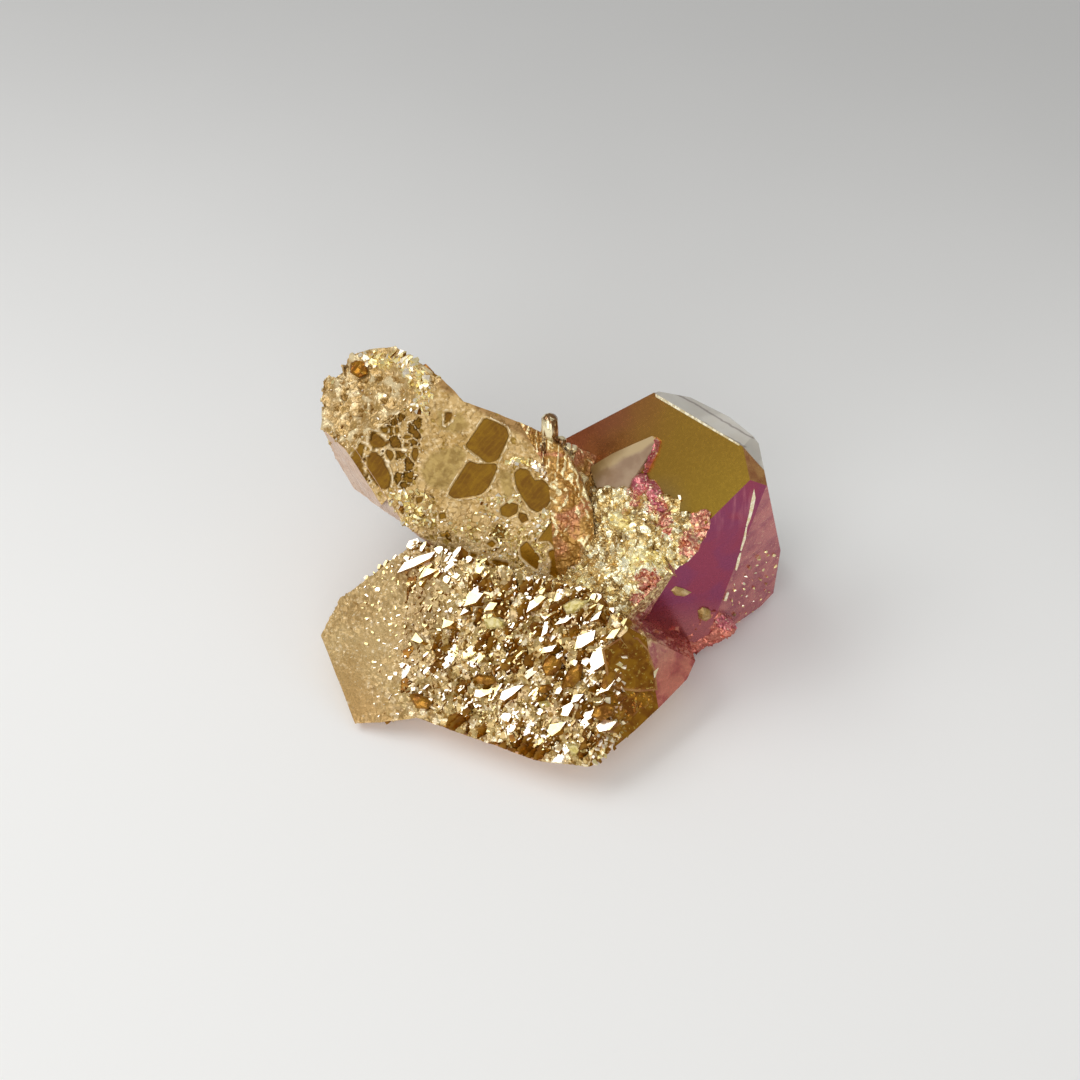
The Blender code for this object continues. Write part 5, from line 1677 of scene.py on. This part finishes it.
# Cushions are (facet, outline, rise, sunk, finish, edge, relief).
cushions = {
    "bladeEdge": (oliveFace,
        [(-4.9, 9.7), (-4.1, 9.7), (-3.4, 8.3), (-3.2, 6.8), (-2.9, 5.4), (-3.2, 4.9), (-3.7, 6.4), (-4.1, 8)],
        0.95, 1, "ridge", 0.3, crumple),
    "pinkFoot": (oliveFace, [(-4.5, 3.1), (-3.9, 4.5), (-2.9, 5.2), (-1.9, 4.8), (-1, 3.9), (-1.3, 2.2), (-3, 1.9)],
        1, 1, "ridge", 0.8, gentle),
    # a painted highlight line along the olive ridge
    "ridgeGlint": (oliveFace, [(-8.9, 13.9), (-1.1, 15.3), (5.8, 16.5), (5.9, 16.3), (-1.1, 15), (-8.6, 13.6)],
        0.06, 0.3, "sliver", 0.02, None),
    "crustFoot": (oliveFace,
        [(-9.6, -0.8), (-7.8, -0.4), (-6.7, 0.7), (-5.5, 1.5), (-4.1, 2.6), (-2.6, 2.4), (-1.2, 2.4), (0.4, 1.7),
            (0.6, 0.1), (-1.3, -2), (-3.9, -3.3), (-5.2, -5), (-8.2, -5.2), (-9.4, -3.4)], 1.15, 1.5, "crust", 0.9,
        crumple),
    "rosyRidge": (oliveFace,
        [(-2.5, 4.6), (-1.4, 5.3), (0.2, 5), (2, 4.3), (3.3, 3.6), (2.8, 2.2), (1, 2.4), (-0.7, 2.8)], 1.1, 1.2,
        "ridge", 0.7, crumple),
    "rightCrust": (upperCrust,
        [(2, 10.2), (3.2, 10.9), (3.8, 11.9), (5.6, 13), (7.1, 14.4), (8, 14.5), (8.8, 12.8), (9.3, 11), (9.3, 9.1),
            (9.1, 7.2), (8.7, 5.9), (7.4, 6.1), (5.4, 7), (3.5, 8.2)], 0.5, 3.5, "crust", 1.6, crustRelief),
    "lowerPink": (prismFace,
        [(-6.9, -10.3), (-5, -9.4), (-2.7, -9), (-0.4, -8.6), (0.7, -7.8), (2.4, -7.7), (4.2, -9.9), (5.6, -12.5),
            (4.4, -13.7), (2.1, -14.5), (0.1, -15.4), (-3.7, -15.6), (-5.5, -13.5)], 0.1, 1.2, "pinkCrust", 0.8,
        crustRelief),
    "tanSpot": (prismFace, [(-0.1, -6.9), (0.6, -6.4), (1.6, -7.2), (1.9, -8.7), (1.1, -9.4), (0.1, -8.4)], 0.55,
        0.8, "side", 0.4, gentle),
    "tanCorner": (prismFace, [(2.4, -9.5), (3.5, -9.1), (5.2, -10.9), (5.7, -12.3), (4.2, -12.6), (2.7, -11.2)],
        0.35, 0.8, "ridge", 0.5, crumple),
    "tanFlake": (prismFace, [(-3.4, -0.9), (-2.3, -1.7), (-1.1, -2.9), (-2.2, -3.3), (-3.4, -2.7), (-4, -1.5)], 0.3,
        0.6, "side", 0.3, faint),
    # the slivers are painted highlight along the ridge of the magenta face
    "sliverTop": (prismFace,
        [(6.9, 13.8), (7.2, 12), (7, 10.1), (6.7, 8.4), (6.3, 7), (6.1, 7.3), (6.4, 9.3), (6.6, 11.6)], 0.4, 0.6,
        "sliver", 0.02, None),
    "sliverMiddle": (prismFace, [(6.3, 7), (6.2, 4.8), (5.7, 2.7), (5.5, 2.9), (5.9, 5.3), (6.1, 7.1)], 0.4, 0.6,
        "sliver", 0.02, None),
    "sliverLow": (prismFace, [(5.7, 2.3), (5.5, 0.5), (5.2, -0.9), (5, -0.7), (5.2, 1.4), (5.5, 2.4)], 0.4, 0.6,
        "sliver", 0.02, None),
    "sliverEnd": (prismFace, [(4.3, -4.9), (4, -6.4), (3.6, -6.3), (4, -4.8)], 0.35, 0.6, "sliver", 0.02, None),
    "fanLow": (windowFace,
        [(10.9, 5.8), (12.8, 5.1), (14.5, 3), (16.2, -0.1), (17.5, -3.3), (17.9, -6.5), (17.3, -9.6), (16.1, -12.2),
            (15.1, -13.7), (14.1, -14), (13.1, -11.3), (12.4, -7.2), (11.9, -2.3), (11.2, 2.2)], 0.35, 0.9, "fan",
        0.8, fanRelief),
    "milkLens": (windowFace,
        [(-0.5, -5.6), (1.4, -4.9), (3.5, -5), (5.4, -5.9), (4.1, -6.7), (1.5, -7.2), (-0.2, -6.7)], 0.15, 0.5,
        "side", 0.5, gentle),
    "tipDark": (tipFace, [(0.8, 7.6), (1.3, 8.6), (3, 8.6), (3.4, 7.7), (2.8, 7), (1.4, 7)], 0.1, 0.3, "brown", 0.2,
        faint),
    "tipPane": (tipFace, [(-8.1, 1.4), (-7.6, 2.4), (-6.3, 3), (-5, 2), (-5.6, 0.8), (-7.1, 0.5)], 0.15, 0.4,
        "amber", 0.2, faint),
    "amberVein": (amberFace,
        [(5.6, 0.4), (8.3, 0.5), (10.9, -0.7), (11.7, -3), (11.5, -6), (10.8, -8.6), (8.2, -7.4), (6.1, -5.9),
            (4.6, -4.4)], 0.04, 0.2, "strip", 0.02, None),
    "amberUpper": (amberFace,
        [(5.8, 0.2), (8.2, 0.3), (10.7, -0.9), (11.5, -3.1), (11.3, -6), (10.6, -8.3), (8.3, -7.1), (6.3, -5.7),
            (4.9, -4.3)], 0.1, 0.2, "amber", 0.1, faint),
    "amberLow": (amberFace,
        [(2.9, -6.2), (4.4, -5.7), (6.1, -6.2), (8.2, -7.5), (10.1, -8.7), (9.6, -9.7), (7.1, -9.7), (4.9, -10),
            (3.7, -9.1), (2.7, -7.7)], 0.15, 0.3, "amber", 0.3, gentle),
    "amberGlint": (amberFace, [(9.4, -6.8), (10.7, -6.1), (12.1, -5.9), (11.1, -6.8)], 0.5, 0.6, "sliver", 0.02,
        None),
}
# How proud and how deep these stand, and the sides of their nets, in mm. A plain cushion needs
# no inner points, and a deep one is drawn in towards its foot.
setOn = {"facet": 0.75, "flake": 0.9, "flakeEdge": 0.3, "root": 1.0, "net": 0.25, "paneNet": 0.3, "plainNet": 4.0}
foot = {"deep": 2.0, "drawnIn": 0.45}
pieces.append(shards("mainFacets", sparkleFace, mainFacets, setOn["facet"]))
for name, (outlines, rise, finish, edge, tilt) in panes.items():
    for number, outline in enumerate(outlines):
        size = rise, setOn["root"], finish, setOn["paneNet"], edge
        pieces.append(lump("%s%d" % (name, number), sparkleFace, outline, *size, faint, tilt))
for name, outline in flakes.items():
    size = setOn["flake"], setOn["root"], "flake", setOn["paneNet"], setOn["flakeEdge"]
    pieces.append(lump(name, upperCrust, outline, *size, crumple))
for name, (plane, outline, rise, sunk, finish, edge, relief) in cushions.items():
    side = setOn["net"] if relief else setOn["plainNet"]
    drawnIn = foot["drawnIn"] if sunk > foot["deep"] else 1.0
    pieces.append(lump(name, plane, outline, rise, sunk, finish, side, edge, relief, drawnIn=drawnIn))
print("facets, panes, flakes and cushions made")
for collection in (shapes, grainShapes, work):
    emptied(collection)
    bpy.data.collections.remove(collection)

for piece in pieces:
    if piece is not column:
        piece.data.polygons.foreach_set("use_smooth", np.zeros(len(piece.data.polygons), bool))
    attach(piece, "root")
    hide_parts("quartz_cluster")
print("pieces declared:", [piece.name for piece in pieces])


def floorSkin(place):
    # painted shade: darker towards the back and the far right, where the light falls off
    away = place.dot(axisY) + place.dot(axisX) * 0.18
    paintedFalloff = (away + place.noise(60.0, 2) * 20.0).smooth(-20.0, 170.0)
    return {"Base Color": paintedFalloff.mix((0.88, 0.88, 0.87), (0.525, 0.525, 0.52)), "Roughness": 0.6}


# Lengths are in metres, apart from the camera's target, which is in mm like the drawing.
studio = {
    "floorSize": 8.0,
    "floorDrop": 0.0002,
    "lampsAbout": (0, 0, 0.01),
    "sky": (0.90, 0.895, 0.88),
    "skyStrength": 0.51,
    "lens": 74.07,
    "sensor": 36.0,
    "target": (0.0, 0.0, 12.0),
    "elevation": 50,
    "far": 0.3,
}
# Lamps are area lights, in metres and watts.
lamps = {
    "glint": {"way": (-0.45, 0.35, 0.82), "far": 0.6, "size": 0.28, "power": 0.6},
    "key": {"way": (-0.64, 0, 0.77), "far": 0.7, "size": 0.3, "power": 0.95},
    "fill": {"way": (-0.2, -0.85, 0.5), "far": 0.9, "size": 0.9, "power": 4.2},
}
bm = bmesh.new()
bmesh.ops.create_grid(bm, x_segments=2, y_segments=2, size=studio["floorSize"])
floor = newObject("floor", bm)
floor.location.z = -studio["floorDrop"]
floor.data.materials.append(finishMaterial("paleFloor", floorSkin))
for name, lamp in lamps.items():
    light = bpy.data.lights.new(name, "AREA")
    light.shape, light.size, light.energy = "SQUARE", lamp["size"], lamp["power"]
    way = Vector(lamp["way"]).normalized()
    obj = linked(name, light)
    obj.location = way * lamp["far"] + Vector(studio["lampsAbout"])
    obj.rotation_euler = way.to_track_quat("Z", "Y").to_euler()

world = bpy.data.worlds.new("studio")
world.use_nodes = True
background = world.node_tree.nodes["Background"].inputs
background["Color"].default_value = opaque(studio["sky"])
background["Strength"].default_value = studio["skyStrength"]
bpy.context.scene.world = world

camera = bpy.data.cameras.new("camera")
camera.sensor_width, camera.lens = studio["sensor"], studio["lens"]
eye = linked("camera", camera)
toCamera = facing(-90, studio["elevation"])
eye.location = Vector(toFrame(studio["target"])) + toCamera * studio["far"]
eye.rotation_euler = toCamera.to_track_quat("Z", "Y").to_euler()
bpy.context.scene.camera = eye
bpy.context.scene.view_settings.view_transform = "Standard"
print("floor, light and camera set")
